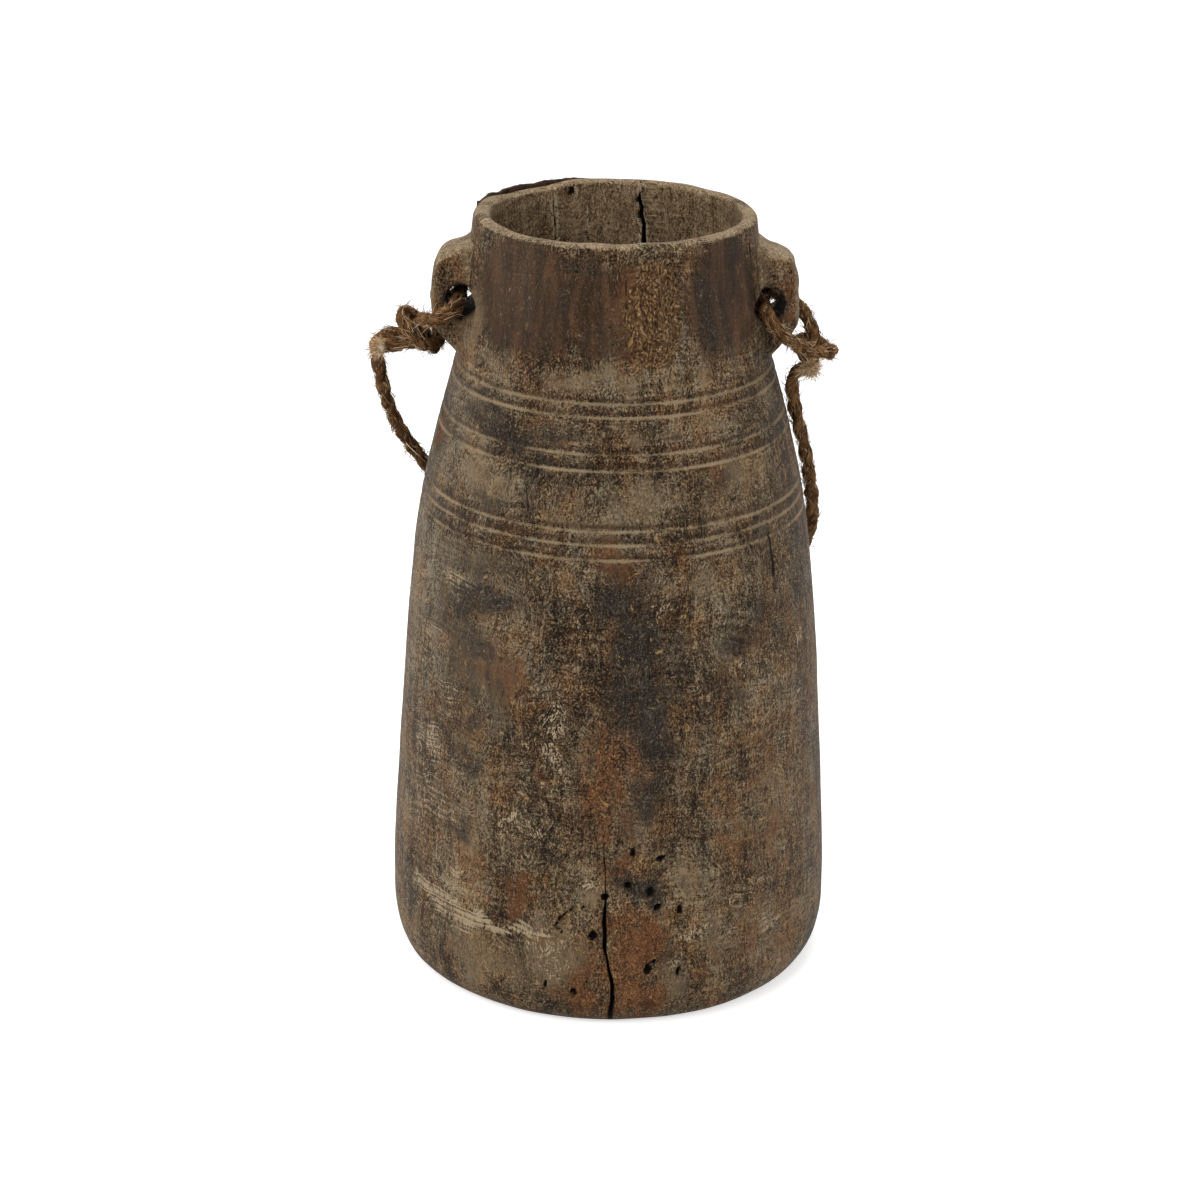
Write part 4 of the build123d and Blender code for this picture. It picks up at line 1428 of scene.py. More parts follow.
@dataclass
class CarvedLug:
    """A lug carved from the same block, as a ring of wood round its eye."""

    side: Side
    corners: tuple[tuple[float, float], ...] = (
        (58.5, 348.5), (80.2, 342.0), (83.4, 330.0), (83.2, 308.5), (58.5, 281.2),
    )
    eye: tuple[float, float] = (EYE_FROM_AXIS, EYE_HEIGHT)
    eye_radius: float = EYE_RADIUS
    half_depth: float = 14.0
    root: float = 59.3
    roundness: float = 15.0
    around: int = 132
    across: int = 72

    def reach(self, way: Array) -> Array:
        """Distance from the eye to the lug's outline: a polygon whose corners a high norm rounds off.

        The reach is one over the p-norm of each edge's (outward normal . way) / distance.

        Args:
            way: Directions as (x, z) pairs.

        Returns:
            Distances in millimetres.
        """
        points = np.array(self.corners) - np.array(self.eye)
        run = np.roll(points, -1, axis=0) - points
        normal = np.stack([run[:, 1], -run[:, 0]], -1) / np.linalg.norm(run, axis=1, keepdims=True)
        normal *= np.sign(np.sum(normal * points, axis=1, keepdims=True))
        share = np.clip(way @ normal.T, 0, None) / np.sum(normal * points, axis=1)
        return 1 / np.sum(share**self.roundness, axis=-1) ** (1 / self.roundness)

    def build(self, finish: bpy.types.Material) -> bpy.types.Object:
        """Makes the ring: round the eye one way, round its section the other.

        The section is a superellipse between the eye's wall and the outline, square at the eye and
        softer outside. Near the neck its depth and top flare out, so that the lug grows from it.

        Args:
            finish: The wood.

        Returns:
            The lug.
        """
        around, across = self.around, self.across
        theta = np.linspace(0, 2 * np.pi, around, endpoint=False)[:, None]
        phi = np.linspace(0, 2 * np.pi, across, endpoint=False)[None, :]
        way = np.concatenate([np.cos(theta), np.sin(theta)], -1)
        outer = self.reach(way)[:, None]
        c, s = np.cos(phi), np.sin(phi)
        square = np.where(c < 0, 9.0, 4.2)
        middle, half = (outer + self.eye_radius) / 2, (outer - self.eye_radius) / 2
        rho = middle + half * np.sign(c) * np.abs(c) ** (2 / square)
        y = self.half_depth * np.sign(s) * np.abs(s) ** (2 / square) + 0 * theta
        x = self.eye[0] + rho * way[:, :1]
        z = self.eye[1] + rho * way[:, 1:]
        root = ease(x, 76.0, 63.0)
        y *= 1 + 0.26 * root**2 - 0.05 * ease(x, 76, 84)
        z += 1.6 * ease(x, 72.0, 63.0) ** 2 * ease(z, 336.0, 346.0)
        x = np.maximum(x, self.root)
        sign = self.side.value
        places = np.stack([sign * x, sign * y, z], -1) * MM
        bumps = 0.45 * ripple(places, 0.02, 61 + sign) + 0.25 * ripple(places, 0.009, 63 + sign)
        outward = np.stack([sign * (x - self.eye[0]), sign * y, z - self.eye[1]], -1)
        outward /= np.linalg.norm(outward, axis=-1, keepdims=True)
        soft = ease(rho, self.eye_radius + 1.0, self.eye_radius + 4.0)
        places += outward * (bumps * soft)[..., None] * MM
        quads = sheet_faces(around, across)
        last = (around - 1) * across + np.arange(across)
        ring = np.arange(across)
        quads = np.vstack([quads, np.stack([last, np.roll(last, -1), np.roll(ring, -1), ring], -1)])
        name = f"{self.side.name.lower()}_lug"
        piece = make_object(name, places.reshape(-1, 3), quads[:, ::-1])
        self.paint(piece, places, x, z, rho)
        seat(piece, Body.POT, "wood", finish, "vessel")
        return piece

    def paint(self, piece: bpy.types.Object, places: Array, x: Array, z: Array, rho: Array) -> None:
        """Marks the top, worn pale and also laid lighter as painted top light, the red end grain in front,
        the dirt at the root and painted shade in and round the eye.

        Args:
            piece: The lug.
            places: Places in metres.
            x: Distance from the axis in millimetres.
            z: Height in millimetres.
            rho: Distance from the eye's middle in millimetres.
        """
        run = np.roll(places, -1, 0) - np.roll(places, 1, 0)
        rise = np.roll(places, -1, 1) - np.roll(places, 1, 1)
        normal = np.cross(rise, run)
        normal /= np.maximum(np.linalg.norm(normal, axis=-1, keepdims=True), 1e-12)
        lump = ripple(places, 0.012, 70)
        streak = ripple(places * np.array([1.0, 1.0, 0.3]), 0.004, 71)
        # Up-facing wood: worn pale, and laid lighter as painted top light.
        top = ease(normal[..., 2] + 0.12 * lump, 0.30, 0.85) * ease(z, 328, 338)
        side = ease(normal[..., 0] * self.side.value + 0.15 * lump, 0.45, 0.9)
        face = ease(np.abs(normal[..., 1]), 0.45, 0.9)
        # Painted shade in and round the eye, laid as soot and as a black pit mark.
        dark = ease(rho, self.eye_radius + 2.4, self.eye_radius + 0.2)
        zero = np.zeros(x.shape)
        crest = np.exp(-(((x - 65.5) / 1.8) ** 2)) * face * ease(z, 304, 314)
        red = face * (0.34 + 0.25 * lump + 0.2 * streak) * (1 - top) * ease(x, 65, 71)
        # Lumpy dirt low on the lug, and painted shade in and round the eye.
        soot = 1.1 * dark + 0.30 * ease(lump, 0.3, 0.9) * ease(z, 316, 300) + 0.42 * ease(rho, 13, 8)
        # Worn edges and face, and the up-facing top laid lighter as painted top light.
        rub_and_top_light = np.clip(top * (1.0 + 0.25 * lump + 0.2 * streak) + 0.35 * side + 0.55 * crest, 0, 1.2)
        rub_and_top_light = np.maximum(rub_and_top_light, 0.34 * face * ease(z, 318, 336))
        # Olive and pale on the up-facing top are painted top light as well as worn wood.
        olive = 0.5 * top + 0.75 * side + 0.25 * face + 0.5 * ease(x, 72, 65) + 0.3 * ease(z, 300, 288)
        pale = 0.80 * top * ease(lump + 0.4 * streak, -0.1, 0.9)
        for name, group in (
            ("marks_a", (soot, zero, pale, red)),
            # Painted shade in the eye, as a pit mark.
            ("marks_b", (zero, 0.45 * dark, zero, zero)),
            ("marks_c", (rub_and_top_light, zero, olive, 0.15 * face)),
        ):
            set_colour(piece, name, np.stack(group, -1).reshape(-1, 4))


# Iron


@dataclass
class RimStrip:
    """Iron strip hammered round the back left of the neck, with a ragged top edge."""

    start: float = 178.0
    arc: float = 77.0
    thickness: float = 1.15
    tall: float = 19.0
    top: float = 359.8
    gap: float = 0.28
    spine_radius: float = 65.0
    worn_edge: float = 0.25
    steps: int = 150
    levels: int = 12

    def build(self, vessel: TurnedVessel, finish: bpy.types.Material) -> bpy.types.Object:
        """Carries the strip's closed section along its arc: radius follows the neck, plus hammer dents.

        Args:
            vessel: The pot that it is bent round.
            finish: The iron.

        Returns:
            The strip.
        """
        levels = self.levels
        along = np.linspace(0, 1, self.steps)[:, None]
        up = np.linspace(0, 1, levels)
        level = np.concatenate([up, up[::-1]])[None, :]
        front = np.concatenate([np.ones(levels), np.zeros(levels)])[None, :]
        angle = np.radians(self.start + along * self.arc)
        spine = np.concatenate([np.sin(angle), -np.cos(angle), 0 * angle], -1) * self.spine_radius * MM
        ragged = 0.35 * ripple(spine, 0.016, 81) + 0.22 * ripple(spine, 0.005, 82)
        ragged = ragged - 1.9 * ease(along[:, 0], 0.34, 0.0)
        foot = self.top - self.tall + 0.5 * ripple(spine, 0.02, 83)[:, None]
        height = foot + level * (self.top + ragged[:, None] - foot)
        radius = vessel.outside(height) + self.gap + front * self.thickness
        rough = np.stack([radius * np.sin(angle), -radius * np.cos(angle), height], -1) * MM
        bulge = np.abs(ripple(spine, 0.02, 84))[:, None] * 0.4 * level**2 + 0.12 * ripple(rough, 0.006, 85)
        radius = radius + np.maximum(bulge, 0.0)
        places = np.stack([radius * np.sin(angle), -radius * np.cos(angle), height], -1) * MM
        rows, columns = places.shape[:2]
        quads = sheet_faces(rows, columns)
        low = np.arange(levels - 1)
        high = columns - 1 - low
        cap = np.stack([low, low + 1, high - 1, high], -1)
        caps = np.vstack([cap, cap[:, ::-1] + (rows - 1) * columns])
        piece = make_object("rim_strip_iron", places.reshape(-1, 3), np.vstack([quads, caps]))
        crisp = piece.modifiers.new("worn_edges", "BEVEL")
        crisp.width = self.worn_edge * MM
        crisp.segments = 2
        crisp.limit_method = "ANGLE"
        seat(piece, Body.POT, "iron", finish, "rim_strip")
        return piece


@dataclass
class StripNails:
    """Hand-forged nails of the strip, with uneven beaten heads; angles run anticlockwise from +X."""

    angles: tuple[float, ...] = (92.5, 115.0, 150.0)
    height: float = 353.0
    head_radius: float = 2.7
    head_height: float = 1.5
    out: float = 1.45
    sink: float = 5.4
    shank_radius: float = 1.05
    tip_radius: float = 0.2
    sides: int = 22

    def build(self, vessel: TurnedVessel, finish: bpy.types.Material) -> bpy.types.Object:
        """Turns one outline, a low dome over a tapering shank, about each nail's own axis.

        Args:
            vessel: The pot that the nails are driven into.
            finish: The iron.

        Returns:
            The nails.
        """
        dome = np.linspace(0.08, np.pi / 2, 7)
        shank = [self.head_radius, self.shank_radius, self.shank_radius, self.tip_radius]
        reach = np.concatenate([self.head_radius * np.sin(dome), shank])
        rise = np.concatenate([self.head_height * np.cos(dome), [-0.05, -0.06, -self.sink * 0.6, -self.sink]])
        sides = self.sides
        turn = np.linspace(0, 2 * np.pi, sides, endpoint=False)
        rings = len(reach) * sides
        foot = np.array([0, 0, self.height])
        wall = vessel.outside(np.array([self.height]))[0]
        lean = (vessel.turned_radii[-1] - vessel.rim_radius) / (vessel.rim_height - vessel.turned_heights[-1])
        meshes, quads = [], []
        for number, degrees in enumerate(self.angles):
            spoke = np.array([np.cos(np.radians(degrees)), np.sin(np.radians(degrees)), 0.0])
            outward = (spoke + np.array([0, 0, lean])) / np.hypot(1, lean)
            across = np.array([-spoke[1], spoke[0], 0.0])
            upward = np.cross(outward, across)
            middle = spoke * wall + foot + outward * self.out
            beaten = 1 + 0.10 * np.sin(3 * turn + number) + 0.06 * np.sin(5 * turn + 2 * number)
            disc = across * np.cos(turn)[:, None] + upward * np.sin(turn)[:, None]
            places = middle + reach[:, None, None] * (disc * beaten[:, None]) + rise[:, None, None] * outward
            quads.append(sheet_faces(len(reach), sides, number * rings)[:, ::-1])
            meshes.append(places.reshape(-1, 3) * MM)
        ring = np.arange(1, sides - 1)
        fan = np.stack([0 * ring, ring, ring + 1], -1)
        starts = range(0, rings * len(self.angles), rings)
        fans = [fan + start for start in starts]
        fans += [fan[:, ::-1] + start + rings - sides for start in starts]
        piece = make_object("strip_nails", np.vstack(meshes), np.vstack(quads), np.vstack(fans))
        seat(piece, Body.POT, "nail_iron", finish, "rim_strip_nails")
        return piece


# Rope


LEFT_EXIT = np.array([-99.5, 6.0, 299.5])
RIGHT_EXIT = np.array([86.3, 6.0, 284.4])
SWING_AXIS = (RIGHT_EXIT - LEFT_EXIT) / np.linalg.norm(RIGHT_EXIT - LEFT_EXIT)
ROPE_LAY = 6.05
LEFT_HITCH = (
    (128, 2.18, -1.00), (84, 2.20, -0.92), (45, 2.22, -0.74), (14, 2.22, -0.50), (-14, 2.18, -0.28),
    (-46, 1.86, -0.16), (-90, 1.40, -0.18), (-132, 1.20, -0.25), (-175, 1.15, -0.32), (-220, 1.15, -0.40),
    (-262, 1.15, -0.36), (-303, 1.15, -0.12), (-326, 1.16, 0.38),
)
RIGHT_HITCH = (
    (-14, 2.20, -0.75), (20, 2.16, -0.48), (55, 1.76, -0.20), (97, 1.26, -0.05), (138, 1.16, -0.15),
    (180, 1.15, -0.45), (225, 1.15, -0.75), (270, 1.15, -0.75), (312, 1.15, -0.38), (342, 1.22, 0.22),
    (354, 1.75, 0.62), (360, 2.50, 0.72),
)


def hitch_points(middle: Array, tail_way: Array, front_way: Array, steps: tuple[Triple, ...]) -> Array:
    """Points of a half hitch round a standing part: angle from the front, distance and place along it.

    Args:
        middle: Middle of the knot in millimetres.
        tail_way: Direction of the standing part towards the tail.
        front_way: Direction of the knot's front.
        steps: Angle in degrees, distance and place along, both in rope lays.

    Returns:
        The points in millimetres.
    """
    table = np.array(steps)
    turn = np.radians(table[:, :1])
    spoke = front_way * np.cos(turn) + np.cross(front_way, tail_way) * np.sin(turn)
    return middle + spoke * table[:, 1:2] * ROPE_LAY + tail_way * table[:, 2:] * ROPE_LAY


def left_route() -> Array:
    """Route of the left end: up through the knot and the eye, behind the lug and once round itself.

    Returns:
        Its points in millimetres.
    """
    low, high = LEFT_EXIT + SWING_AXIS * 2.2, np.array([-87.0, 4.8, 306.2])
    tail = (low - high) / np.linalg.norm(low - high)
    front = np.array([0.0, -1, 0]) + tail * tail[1]
    front /= np.linalg.norm(front)
    return np.vstack([
        LEFT_EXIT, low, high,
        (-86.9, -4.0, 309.4), (-86.4, -12.4, 311.2), (-81.6, -18.9, 313.6), (-74.2, -20.6, 317.4),
        (-70.6, -12.0, 320.3), (-70.4, 0.0, 320.6), (-70.6, 13.0, 319.8), (-73.0, 20.4, 315.4),
        (-77.4, 21.8, 307.5), (-81.8, 19.5, 299.6),
        hitch_points(low + (high - low) * 0.46, tail, front, LEFT_HITCH),
        (-98.8, -0.4, 296.4), (-104.0, 0.4, 295.6), (-108.8, 1.0, 294.8),
    ])


def right_route() -> Array:
    """Route of the right end: up through the knot, behind the lug, out of the eye and once round itself.

    Returns:
        Its points in millimetres.
    """
    front = np.array([-0.12, -1, 0]) / np.hypot(0.12, 1)
    return np.vstack([
        RIGHT_EXIT, RIGHT_EXIT + SWING_AXIS * 2.2,
        (91.3, 6.0, 287.6), (91.3, 6.0, 300.0), (90.0, 8.4, 305.0), (86.8, 14.2, 310.0),
        (81.0, 20.3, 313.6), (73.6, 20.4, 316.6), (68.4, 13.0, 319.2), (66.9, 0.0, 319.6),
        (67.0, -13.0, 319.0), (70.0, -20.8, 315.0), (75.8, -22.0, 308.8), (81.6, -17.0, 303.0),
        hitch_points(np.array([91.3, 6.0, 293.6]), np.array([0, 0, -1.0]), front, RIGHT_HITCH),
    ])


def hanging_route() -> Array:
    """Route of the stretch between the knots, which hangs behind the pot and rests on its back.

    Returns:
        Its points in millimetres.
    """
    return np.vstack([
        LEFT_EXIT, LEFT_EXIT - SWING_AXIS * 6.5,
        (-110.0, 7.0, 293.8), (-108.4, 10.0, 282.0), (-106.2, 17.0, 265.0), (-100.5, 29.0, 245.5),
        (-90.5, 42.5, 226.0), (-78.0, 59.5, 203.0), (-61.3, 79.7, 176.0), (-37.0, 95.2, 152.0),
        (-5.8, 102.6, 138.0), (27.2, 99.6, 136.0), (56.3, 85.4, 145.0), (78.0, 65.3, 162.0),
        (91.5, 43.5, 183.0), (95.2, 27.0, 205.0), (92.3, 16.5, 228.0), (88.3, 10.0, 248.0),
        (83.6, 7.0, 264.0), (81.2, 6.2, 280.0), RIGHT_EXIT - SWING_AXIS * 2.3, RIGHT_EXIT,
    ])


@dataclass
class RopeLine:
    """Middle of a rope: points, direction along, two directions across, and distance from its start."""

    points: Array
    along: Array
    first: Array
    second: Array
    step: Array

    @classmethod
    def through(cls, points: Array) -> "RopeLine":
        """Finds the directions along the line and two across it that don't spin round it.

        Each across direction is the last one, less its part along the new direction.

        Args:
            points: Points of the line, evenly spaced.

        Returns:
            The line.
        """
        along = np.gradient(points, axis=0)
        along /= np.linalg.norm(along, axis=1, keepdims=True)
        first = np.empty_like(along)
        way = np.cross(along[0], (0.31, 0.95, 0.12))
        for number, ahead in enumerate(along):
            way = way - ahead * (way @ ahead)
            way = way / np.linalg.norm(way)
            first[number] = way
        step = np.concatenate([[0], np.cumsum(np.linalg.norm(np.diff(points, axis=0), axis=1))])
        return cls(points, along, first, np.cross(along, first), step)


@dataclass
class RopeStretch:
    """One stretch of the rope: two plies twisted along a smooth line, with loose fibres.

    Lengths are in millimetres. The shares are of the rope's diameter.
    """

    name: str
    node: str
    body: Body
    route: Array
    far_end: str
    frayed: bool
    seed: int
    diameter: float = 5.6
    plies: int = 2
    ply_sides: int = 18
    ply_radius_share: float = 0.395
    ply_offset_share: float = 0.195
    turn_length: float = 24.0
    point_pitch: float = 0.6
    hairs_per_mm: float = 12.0
    longest_hair: float = 10.0
    brush: int = 620

    def line(self) -> RopeLine:
        """Reads the smooth line from a NURBS spline with the route's points as its control points.

        Returns:
            The line, with points a pitch apart.
        """
        curve = bpy.data.curves.new(f"{self.name}_route", "CURVE")
        curve.dimensions = "3D"
        curve.resolution_u = 24
        spline = curve.splines.new("NURBS")
        spline.points.add(len(self.route) - 1)
        spline.points.foreach_set("co", np.hstack([self.route * MM, np.ones((len(self.route), 1))]).ravel())
        spline.order_u = 3
        spline.use_endpoint_u = True
        holder = bpy.data.objects.new(f"{self.name}_route", curve)
        mesh = bpy.data.meshes.new_from_object(holder)
        read = np.empty(len(mesh.vertices) * 3, np.float32)
        mesh.vertices.foreach_get("co", read)
        bpy.data.objects.remove(holder)
        bpy.data.curves.remove(curve)
        bpy.data.meshes.remove(mesh)
        points = read.reshape(-1, 3).astype(float) / MM
        reach = np.concatenate([[0], np.cumsum(np.linalg.norm(np.diff(points, axis=0), axis=1))])
        keep = np.concatenate([[True], np.diff(reach) > 1e-6])
        places = np.linspace(0, reach[-1], int(reach[-1] / self.point_pitch) + 1)
        even = [np.interp(places, reach[keep], points[keep, axis]) for axis in range(3)]
        return RopeLine.through(np.stack(even, -1))

    def twist(self, line: RopeLine) -> bpy.types.Object:
        """Makes the plies, with a UV map along their yarns.

        A ply's middle is the line plus a circle that turns once in a turn length. Its section is a
        circle with seven low yarn ridges that twist the other way. A frayed end spreads and thins.

        Args:
            line: Middle of the rope.

        Returns:
            The plies.
        """
        points, step, sides = line.points, line.step, self.ply_sides
        ply_radius, ply_offset = self.diameter * self.ply_radius_share, self.diameter * self.ply_offset_share
        around = np.linspace(0, 2 * np.pi, sides, endpoint=False)[None, :]
        turns = step / self.turn_length
        thick = 1 + 0.05 * ripple(points, 9.0, self.seed) + 0.03 * ripple(points, 3.0, self.seed + 1)
        uneven = 0.35 * ripple(points, 14.0, self.seed + 2)
        tail = ease(step, step[-1] - 7.0, step[-1] - 1.0) * self.frayed
        blunt = ease(step, step[-1] - 3.0, step[-1]) * self.frayed
        ridge = 1 + 0.07 * np.cos(7 * (around - 1.3 * 2 * np.pi * turns[:, None]))
        wide = (ply_radius * thick * (1 - 0.6 * blunt))[:, None] * ridge
        size = len(points) * sides
        flat = np.zeros((len(points), sides))
        # Painted shade in the crease: 0 on a ply's outer side, 1 where it faces the other ply.
        crease_shade = 0.5 - 0.5 * np.cos(around)
        shade = np.stack([tail[:, None] + flat, crease_shade + flat, flat, flat], -1).reshape(-1, 4)
        start = np.zeros(sides - 2, int)
        ring = np.arange(1, sides - 1)
        caps = [np.stack([start, ring + 1, ring], -1), np.stack([start, ring, ring + 1], -1) + size - sides]
        meshes, quads, fans, charts = [], [], [], []
        for ply in range(self.plies):
            wind = 2 * np.pi * (turns + ply / self.plies) + uneven
            spoke = line.first * np.cos(wind)[:, None] + line.second * np.sin(wind)[:, None]
            side = np.cross(line.along, spoke)
            middle = points + spoke * (ply_offset * thick * (1 + 0.25 * tail))[:, None]
            disc = spoke[:, None] * np.cos(around)[..., None] + side[:, None] * np.sin(around)[..., None]
            meshes.append((middle[:, None] + disc * wide[..., None]).reshape(-1, 3) * MM)
            quads.append(sheet_faces(len(points), sides, ply * size))
            fans.extend(cap + ply * size for cap in caps)
            yarn = (around / (2 * np.pi) - 0.5 * turns[:, None]) * 5.0 + 11 * ply
            charts.append(np.stack([step[:, None] + flat, yarn], -1).reshape(-1, 2))
        piece = make_object(self.name, np.vstack(meshes), np.vstack(quads), np.vstack(fans))
        set_colour(piece, "ply_marks", np.tile(shade, (self.plies, 1)))
        chart = piece.data.uv_layers.new(name="along")
        corner = np.empty(len(piece.data.loops), np.int32)
        piece.data.loops.foreach_get("vertex_index", corner)
        chart.data.foreach_set("uv", np.vstack(charts)[corner].astype(np.float32).ravel())
        return piece

    def loose_fibres(self, line: RopeLine) -> bpy.types.Object:
        """Makes the loose fibres as thin three-sided tapering tubes, bent as parabolas.

        A fibre starts just under the surface and leans along the rope and outwards. At a frayed end
        more of them, straw coloured, fan out along the rope's own direction.

        Args:
            line: Middle of the rope.

        Returns:
            The fibres.
        """
        rng = np.random.default_rng(self.seed + 90)
        count = int(line.step[-1] * self.hairs_per_mm)
        brush = self.brush if self.frayed else 0
        last = len(line.points) - 2
        at = np.concatenate([rng.integers(2, last, count), last - rng.integers(0, 7, brush)])
        total = count + brush
        end = np.arange(total) >= count
        spin = rng.uniform(0, 2 * np.pi, total)
        spoke = line.first[at] * np.cos(spin)[:, None] + line.second[at] * np.sin(spin)[:, None]
        out = np.where(end, rng.uniform(0.0, 0.46, total), rng.uniform(0.42, 0.56, total)) * self.diameter
        root = line.points[at] + spoke * out[:, None]
        lean = np.where(rng.uniform(size=total) < 0.75, 1.0, -1.0) * rng.uniform(0.7, 1.6, total)
        lift = rng.uniform(-0.10, 0.42, total) + 0.35 * (rng.uniform(size=total) < 0.12)
        lean = np.where(end, rng.uniform(0.5, 1.4, total), lean)
        lift = np.where(end, rng.uniform(0.0, 1.5, total), lift)
        way = line.along[at] * lean[:, None] + spoke * lift[:, None] + rng.normal(0, 0.22, (total, 3))
        way /= np.linalg.norm(way, axis=1, keepdims=True)
        bend = rng.normal(0, 0.40, (total, 3)) - spoke * np.where(end, 0.0, 0.22)[:, None]
        long = np.where(end, rng.uniform(2.0, 5.5, total), rng.gamma(4.0, 0.8, total) + 1.2)
        long = np.minimum(long, self.longest_hair)
        points, sides = 5, 3
        t = np.linspace(0, 1, points)
        course = way[:, None] * t[:, None] + bend[:, None] * (t**2)[:, None]
        spine = root[:, None] + course * long[:, None, None]
        helper = np.cross(way, rng.normal(size=(total, 3)))
        helper /= np.linalg.norm(helper, axis=1, keepdims=True)
        other = np.cross(way, helper)
        turn = np.linspace(0, 2 * np.pi, sides, endpoint=False)
        coarse = 1 + 0.9 * (rng.uniform(size=total) < 0.3)
        thin = rng.uniform(0.06, 0.15, total) * np.where(end, 1.8, coarse)
        thin = thin[:, None] * (1 - 0.72 * t)[None, :]
        disc = helper[:, None] * np.cos(turn)[:, None] + other[:, None] * np.sin(turn)[:, None]
        places = (spine[:, :, None] + disc[:, None] * thin[:, :, None, None]).reshape(-1, 3) * MM
        starts = (np.arange(total) * points * sides)[:, None, None]
        quads = (sheet_faces(points, sides)[None] + starts).reshape(-1, 4)
        caps = np.array([[0, 1, 2], [0, 2, 1]]) + np.array([[(points - 1) * sides], [0]])
        tips = (caps[None] + starts).reshape(-1, 3)
        piece = make_object(f"{self.name}_fibres", places, quads, tips)
        tone = np.where(end, rng.uniform(0.50, 1.0, total), rng.beta(1.0, 1.5, total))
        shade = np.repeat(tone, points * sides)[:, None] * np.array([1.0, 0, 0, 0])
        set_colour(piece, "hair_tone", shade)
        return piece

    def build(self, rope: bpy.types.Material, hair: bpy.types.Material) -> bpy.types.Object:
        """Args:
            rope: Material of the plies.
            hair: Material of the loose fibres.

        Returns:
            The plies.
        """
        line = self.line()
        piece = self.twist(line)
        seat(piece, self.body, "rope", rope, self.node)
        loose = self.loose_fibres(line)
        seat(loose, self.body, "rope", hair)
        return piece


# Studio


@dataclass(frozen=True)
class Softbox:
    """A square soft lamp: place and side in metres, power in watts."""

    name: str
    place: Triple
    size: float
    power: float
    tint: Colour


SOFTBOXES = (
    Softbox("key_softbox", (-0.8, -1.2, 1.25), 1.1, 16.0, (1.0, 0.985, 0.96)),
    Softbox("fill_softbox", (1.2, -1.0, 0.55), 1.2, 8.5, (0.99, 0.99, 1.0)),
    Softbox("top_softbox", (0.1, 0.25, 1.6), 1.0, 14.0, (1.0, 1.0, 1.0)),
    Softbox("left_softbox", (-1.4, 0.35, 0.45), 0.9, 6.8, (1.0, 0.99, 0.97)),
)


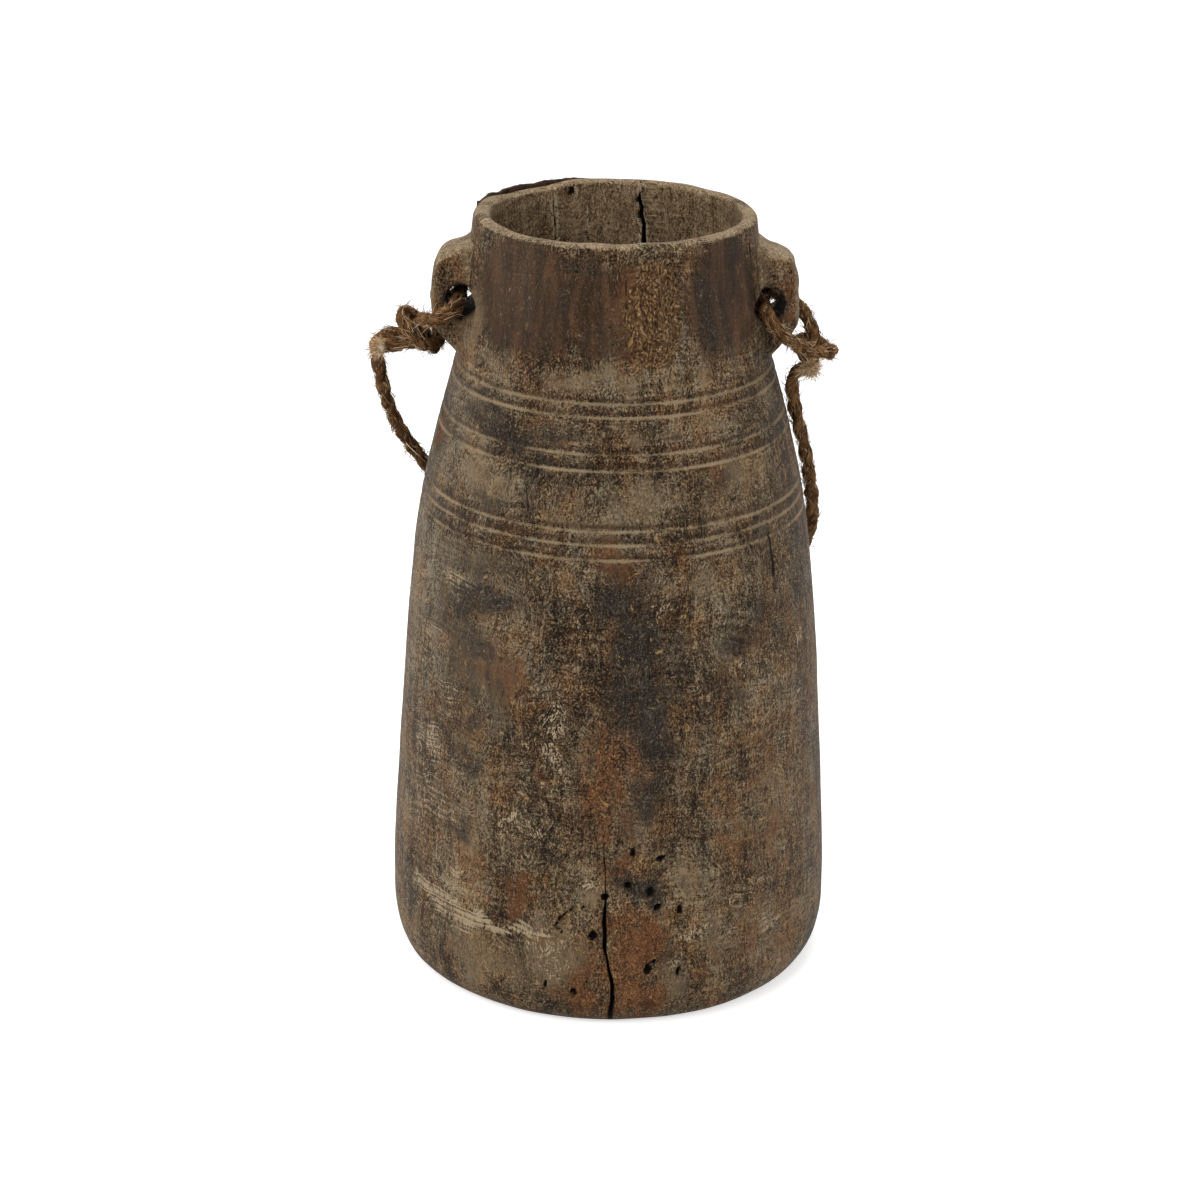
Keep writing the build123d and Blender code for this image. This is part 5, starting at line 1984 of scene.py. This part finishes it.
@dataclass
class Studio:
    """Camera at the photograph's place, soft lamps and a pale floor."""

    eye: Triple = (0.0, -1.47117, 0.73493)
    pitch: float = 0.3653
    yaw: float = -0.0037
    roll: float = 0.0099
    focal_pixels: float = 3351.76
    frame_pixels: float = 1200.0
    lamp_target: Triple = (0.0, 0.0, 0.18)
    room_light: float = 0.50
    floor_glow: float = 0.55

    def camera(self) -> None:
        """Places the camera: it looks along forward, with side and up turned by the roll."""
        cos_pitch, sin_pitch = np.cos(self.pitch), np.sin(self.pitch)
        forward = np.array([np.sin(self.yaw) * cos_pitch, np.cos(self.yaw) * cos_pitch, -sin_pitch])
        side = np.array([np.cos(self.yaw), -np.sin(self.yaw), 0.0])
        up = np.cross(side, forward)
        c, s = np.cos(self.roll), np.sin(self.roll)
        turned = np.stack([c * side + s * up, c * up - s * side, -forward], -1)
        data = bpy.data.cameras.new("photo_view")
        data.sensor_fit = "HORIZONTAL"
        data.sensor_width = 36.0
        data.lens = self.focal_pixels / self.frame_pixels * data.sensor_width
        data.clip_end = 60.0
        view = bpy.data.objects.new("photo_view", data)
        view.matrix_world = Matrix.Translation(self.eye) @ Matrix(turned.tolist()).to_4x4()
        bpy.context.collection.objects.link(view)
        bpy.context.scene.camera = view

    def lamp(self, box: Softbox) -> None:
        """Hangs one soft lamp that faces the pot's middle.

        Args:
            box: The lamp.
        """
        data = bpy.data.lights.new(box.name, "AREA")
        data.shape = "SQUARE"
        data.size = box.size
        data.energy = box.power
        data.color = box.tint
        lamp = bpy.data.objects.new(box.name, data)
        back = np.array(box.place) - np.array(self.lamp_target)
        back /= np.linalg.norm(back)
        side = np.cross((0, 0, 1), back)
        side /= np.linalg.norm(side)
        turned = np.stack([side, np.cross(back, side), back], -1)
        lamp.matrix_world = Matrix.Translation(box.place) @ Matrix(turned.tolist()).to_4x4()
        bpy.context.collection.objects.link(lamp)

    def surroundings(self) -> None:
        """Makes the world and the floor: white to the camera and in reflections, and soft elsewhere."""
        scene = bpy.context.scene
        scene.view_settings.view_transform = "Standard"
        world = bpy.data.worlds.new("soft_room")
        scene.world = world
        world.use_nodes = True
        nodes, links = world.node_tree.nodes, world.node_tree.links
        path = nodes.new("ShaderNodeLightPath")
        seen = nodes.new("ShaderNodeMath")
        seen.operation = "MAXIMUM"
        links.new(path.outputs["Is Camera Ray"], seen.inputs[0])
        links.new(path.outputs["Is Transmission Ray"], seen.inputs[1])
        shown = nodes.new("ShaderNodeMath")
        shown.operation = "MAXIMUM"
        links.new(seen.outputs[0], shown.inputs[0])
        links.new(path.outputs["Is Glossy Ray"], shown.inputs[1])
        level = nodes.new("ShaderNodeMapRange")
        links.new(shown.outputs[0], level.inputs["Value"])
        level.inputs["To Min"].default_value = self.room_light
        level.inputs["To Max"].default_value = 1.0
        links.new(level.outputs["Result"], nodes["Background"].inputs["Strength"])
        nodes["Background"].inputs["Color"].default_value = (1.0, 1.0, 1.0, 1.0)
        self.floor()

    def floor(self) -> None:
        """Lays a round pale floor just under the foot, which glows to the camera and keeps the shadow."""
        sides = 96
        turn = np.linspace(0, 2 * np.pi, sides, endpoint=False)[None, :]
        reach = np.array([0.02, 0.2, 0.6, 2.0, 14.0])[:, None]
        places = np.stack([reach * np.sin(turn), -reach * np.cos(turn), -0.0006 + 0 * reach * turn], -1)
        ring = np.arange(1, sides - 1)
        middle = np.stack([0 * ring, ring, ring + 1], -1)
        quads = sheet_faces(len(reach), sides)[:, ::-1]
        ground = make_object("pale_floor", places.reshape(-1, 3), quads, middle)
        bench = NodeBench("pale_floor")
        bench.shader.inputs["Base Color"].default_value = (0.80, 0.80, 0.80, 1.0)
        bench.shader.inputs["Roughness"].default_value = 0.95
        path = bench.nodes.new("ShaderNodeLightPath")
        seen = bench.math("MAXIMUM", path.outputs["Is Camera Ray"], path.outputs["Is Transmission Ray"])
        seen = bench.math("MAXIMUM", seen, path.outputs["Is Glossy Ray"])
        bench.shader.inputs["Emission Color"].default_value = (1.0, 1.0, 1.0, 1.0)
        bench.feed(bench.shader.inputs["Emission Strength"], bench.math("MULTIPLY", seen, self.floor_glow))
        ground.data.materials.append(bench.material)

    def build(self) -> None:
        """Sets up camera, lamps and surroundings."""
        self.camera()
        self.surroundings()
        for box in SOFTBOXES:
            self.lamp(box)


def main() -> None:
    """Builds the studio, the rope, the wood and the iron in order."""
    logging.basicConfig(level=logging.INFO, format="%(message)s")
    Studio().build()
    fibre = TwistedFibre()
    rope, hair = fibre.rope(), fibre.hairs()
    for stretch in (
        RopeStretch("hanging_rope", "carrying_rope", Body.HANDLE, hanging_route(), "knot", False, 100),
        RopeStretch("left_knot", "left_hitch", Body.POT, left_route(), "bare", True, 200),
        RopeStretch("right_knot", "right_hitch", Body.POT, right_route(), "bare", True, 300),
    ):
        stretch.build(rope, hair)
    wood = WornWood().material()
    vessel = TurnedVessel()
    vessel.build(wood)
    for side in Side:
        CarvedLug(side).build(wood)
    RimStrip().build(vessel, STRIP_IRON.material())
    StripNails().build(vessel, NAIL_IRON.material())


if __name__ == "__main__":
    main()
